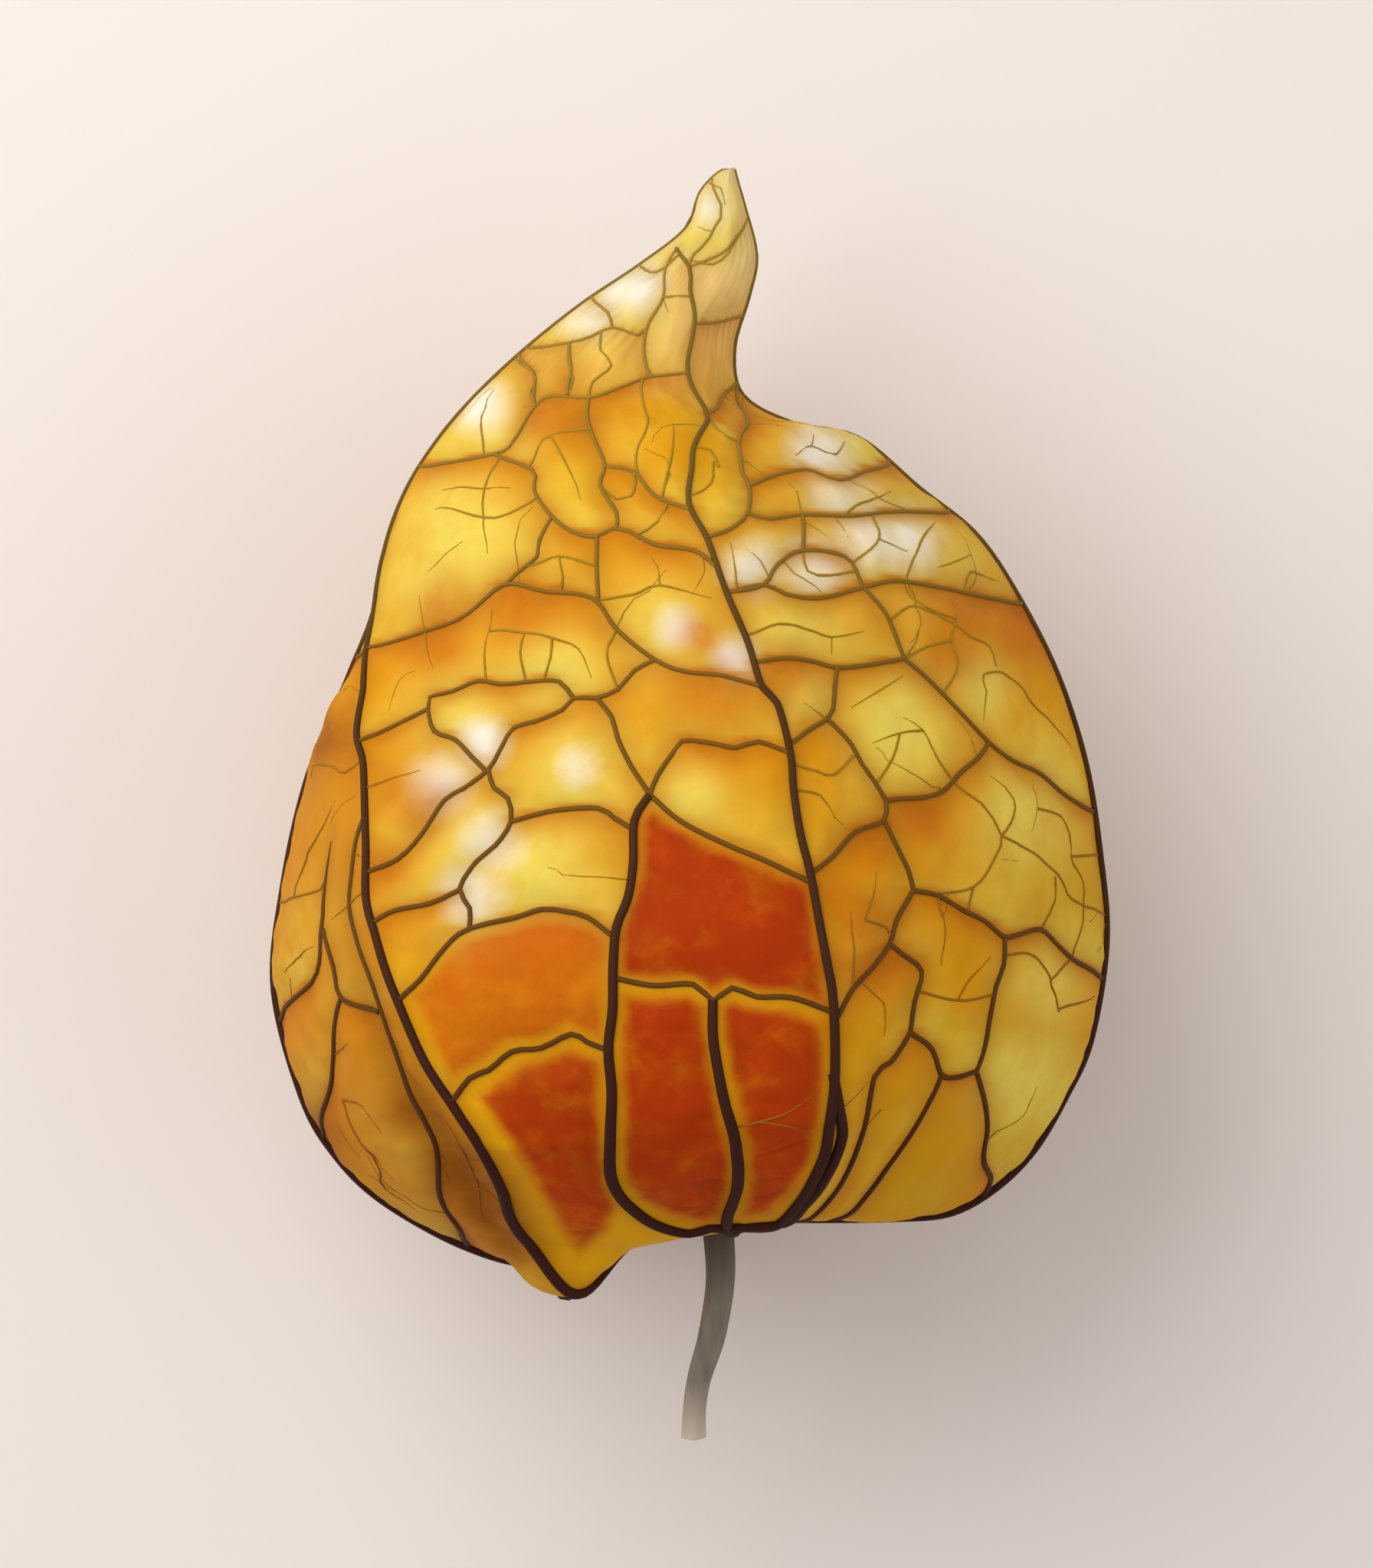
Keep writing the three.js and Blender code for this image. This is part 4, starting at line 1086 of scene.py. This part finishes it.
def husk_material():
    """Dry papery calyx: thin, matt, golden, letting light and the berry's colour through, with painted
    shade, painted highlights and the berry's painted glow in its colour.
    """
    material, tree = new_material("dry_papery_husk")
    place = add(tree, "TexCoord", output="Object")
    mottle = add(tree, "TexNoise", {"Vector": place, "Scale": 1 / MOTTLE, "Detail": 6.0, "Roughness": 0.65})
    cloud = add(tree, "TexNoise", {"Vector": place, "Scale": 1 / CLOUD, "Detail": 5.0})
    wrinkle = add(tree, "TexNoise", {"Vector": place, "Scale": 1 / WRINKLE, "Detail": 4.0})

    def share(name, most, least=0.0, start=0.0, wave=mottle, swing=0.3):
        """An attribute from the mesh as a share, its edges broken up by a noise."""
        field = add(tree, "Attribute", output="Fac", attribute_name=name)
        ruffle = add(tree, "MapRange", {VALUE: wave, FROM_LOW: 0.3, FROM_HIGH: 0.7, TO_LOW: -swing,
                                        TO_HIGH: swing})
        edge = add(tree, "Math", {FACTOR: field, TIMES: ruffle, PLUS: field}, operation="MULTIPLY_ADD")
        return add(tree, "MapRange", {VALUE: edge, FROM_LOW: start, TO_LOW: least, TO_HIGH: most})

    patchy = add(tree, "MapRange", {VALUE: mottle, FROM_LOW: 0.42, FROM_HIGH: 0.62, TO_HIGH: 0.7})
    colour = painted(tree, "#E2A004", [
        ("#EDBC1C", patchy),
        ("#BE9C0C", share("green", 0.7, swing=0.6)),
        ("#F6E2AA", share("straw", 0.9)),
        ("#D08A20", share("ochre", 0.85, swing=0.2)),
        # Painted highlight just above each cross vein, and painted shade just below it
        ("#F2D850", share("painted_highlight_above_veins", 0.6, swing=0.8)),
        ("#D47E02", share("painted_shade_below_veins", 0.95, swing=0.4)),
        # Painted highlights in the cells, pale yellow and cream
        ("#EEDA5C", share("painted_lemon_highlight", 1.0, swing=0.4)),
        ("#FBF6E0", share("painted_cream_highlight", 1.0, start=0.1, swing=0.5)),
        ("#EAAC04", share("yellow", 0.85)),
        # Painted shade in deeper orange
        ("#C86A02", share("painted_deep_shade", 0.7, swing=0.5)),
        # Painted shade in dark brown
        ("#964A04", share("painted_umber_shade", 0.75, swing=0.5)),
        # The berry's glow through the husk, painted into its colour over the amber and glowing panels,
        # besides the real see-through
        ("#CE6602", share("amber", 0.95)),
        ("#D04C04", share("glow", 0.97, wave=cloud)),
        ("#B43202", share("glow", 0.6, start=0.4, swing=0.9)),
        # Painted shade in the crease by the lobe, besides the real crease in the skin
        ("#8A5008", share("fold", 0.7)),
        ("#7E4A08", share("near", 0.25)),
    ])
    bump = add(tree, "Bump", {"Strength": 0.25, "Distance": PAPER_RELIEF, "Height": wrinkle})
    paper = add(tree, "BsdfPrincipled", {"Base Color": colour, "Roughness": 0.7, "IOR": 1.45,
                                         "Specular IOR Level": 0.12, "Normal": bump})
    lit_through = add(tree, "BsdfTranslucent", {"Color": colour})
    thin = add(tree, "MixShader", {SHARE: 0.25, FIRST: paper, SECOND: lit_through})
    clear = add(tree, "BsdfTransparent", {"Color": linear("#F2A63C")})
    seen_through = share("glow", 0.3, least=0.05, swing=0)
    film = add(tree, "MixShader", {SHARE: seen_through, FIRST: thin, SECOND: clear})
    add(tree, "OutputMaterial", {"Surface": film})
    return material


def vein_material(name, low, middle, high):
    """Dried vein: woody, matt brown, darker towards the base of the husk."""
    material, tree = new_material(name)
    place = add(tree, "TexCoord", output="Object")
    along = add(tree, "SeparateXYZ", {"Vector": place}, "Y")
    to_middle = add(tree, "MapRange", {VALUE: along, FROM_LOW: VEIN_LOW, FROM_HIGH: VEIN_MIDDLE})
    to_high = add(tree, "MapRange", {VALUE: along, FROM_LOW: VEIN_MIDDLE, FROM_HIGH: VEIN_HIGH})
    colour = painted(tree, low, [(middle, to_middle), (high, to_high)])
    wood = add(tree, "BsdfPrincipled", {"Base Color": colour, "Roughness": 0.75, "IOR": 1.45,
                                        "Specular IOR Level": 0.15})
    add(tree, "OutputMaterial", {"Surface": wood})
    return material


def berry_material():
    """Ripe berry skin: smooth, waxy gloss, deep orange-red."""
    material, tree = new_material("ripe_berry_skin")
    place = add(tree, "TexCoord", output="Object")
    blush = add(tree, "TexNoise", {"Vector": place, "Scale": 1 / BLUSH, "Detail": 3.0})
    patch = add(tree, "MapRange", {VALUE: blush, FROM_LOW: 0.35, FROM_HIGH: 0.65})
    colour = painted(tree, "#D8480C", [("#B83208", patch)])
    flesh = add(tree, "BsdfPrincipled", {"Base Color": colour, "Roughness": 0.22, "IOR": 1.45,
                                         "Subsurface Weight": 0.15, "Subsurface Scale": FLESH_DEPTH,
                                         "Coat Weight": 0.3, "Coat Roughness": 0.12})
    add(tree, "OutputMaterial", {"Surface": flesh})
    return material


def stem_material():
    """Dried stalk: matt, grey-brown, fibrous, bleached at the cut end."""
    material, tree = new_material("dried_stalk")
    place = add(tree, "TexCoord", output="Object")
    drawn_out = add(tree, "Mapping", {"Vector": place, "Scale": (1.0, FIBRE_STRETCH, 1.0)})
    fibre = add(tree, "TexNoise", {"Vector": drawn_out, "Scale": 1 / FIBRE, "Detail": 4.0})
    along = add(tree, "SeparateXYZ", {"Vector": place}, "Y")
    low = add(tree, "MapRange", {VALUE: along, FROM_LOW: STEM_SHADE, FROM_HIGH: STEM_LIGHT})
    cut = add(tree, "MapRange", {VALUE: along, FROM_LOW: CUT_START, FROM_HIGH: CUT_END})
    streak = add(tree, "MapRange", {VALUE: fibre, FROM_LOW: 0.35, FROM_HIGH: 0.7, TO_HIGH: 0.5})
    colour = painted(tree, "#3A2E1C", [("#7A7062", low), ("#4A4436", streak), ("#B8A898", cut)])
    bump = add(tree, "Bump", {"Strength": 0.4, "Distance": BARK_RELIEF, "Height": fibre})
    bark = add(tree, "BsdfPrincipled", {"Base Color": colour, "Roughness": 0.75, "IOR": 1.5, "Normal": bump})
    add(tree, "OutputMaterial", {"Surface": bark})
    return material


def backdrop_material():
    """Matt backdrop paper: pale, without a shine."""
    material, tree = new_material("matt_backdrop_paper")
    sheet = add(tree, "BsdfPrincipled", {"Base Color": linear("#DBD2CD"), "Roughness": 0.9})
    add(tree, "OutputMaterial", {"Surface": sheet})
    return material


husk_skin.data.materials.append(husk_material())
husk_ribs.data.materials.append(vein_material("dried_ribs", "#32120A", "#46290A", "#77601F"))
husk_net.data.materials.append(vein_material("dried_net", "#45220C", "#6E4E12", "#97792C"))
husk_veinlets.data.materials.append(vein_material("dried_veinlets", "#8E520A", "#96700F", "#9A8026"))
berry.data.materials.append(berry_material())
stem.data.materials.append(stem_material())

for piece, node, slot in (
    (husk_skin, "husk", "papery_husk"),
    (berry, "berry", "berry_skin"),
    (stem, "stem", "dried_stem"),
):
    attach(piece, "root")
    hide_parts(node)
for piece in (husk_ribs, husk_net, husk_veinlets):
    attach(piece, "root")

# A pale sheet to lie on, soft light from the upper left, and the view straight down.
bpy.ops.object.select_all(action="DESELECT")
bpy.ops.mesh.primitive_plane_add(size=FLOOR_SIZE)
floor = bpy.context.object
floor.name = "floor"
floor.data.materials.append(backdrop_material())

for name, place, size, watts in LAMPS:
    lamp = bpy.data.objects.new(name, bpy.data.lights.new(name, "AREA"))
    lamp.data.energy = watts
    lamp.data.size = size
    lamp.data.color = linear(LAMP_COLOUR)[:3]
    lamp.location = place
    lamp.rotation_euler = (-Vector(place)).to_track_quat("-Z", "Y").to_euler()
    bpy.context.collection.objects.link(lamp)

world = bpy.data.worlds.new("studio")
world.use_nodes = True
sky = world.node_tree.nodes["Background"]
sky.inputs["Color"].default_value = linear(SKY_COLOUR)
sky.inputs["Strength"].default_value = SKY_STRENGTH
bpy.context.scene.world = world
bpy.context.scene.view_settings.view_transform = "Standard"

view_height = PHOTO_HEIGHT * PIXEL
aim = from_photo(PHOTO_WIDTH / 2, PHOTO_HEIGHT / 2, MIDDLE_HEIGHT)
camera = bpy.data.objects.new("camera", bpy.data.cameras.new("camera"))
camera.data.lens = LENS
camera.data.sensor_width = SENSOR
camera.data.clip_end = CLIP_END
camera.location = aim + Vector((0, 0, view_height * LENS / SENSOR))
bpy.context.collection.objects.link(camera)
bpy.context.scene.camera = camera
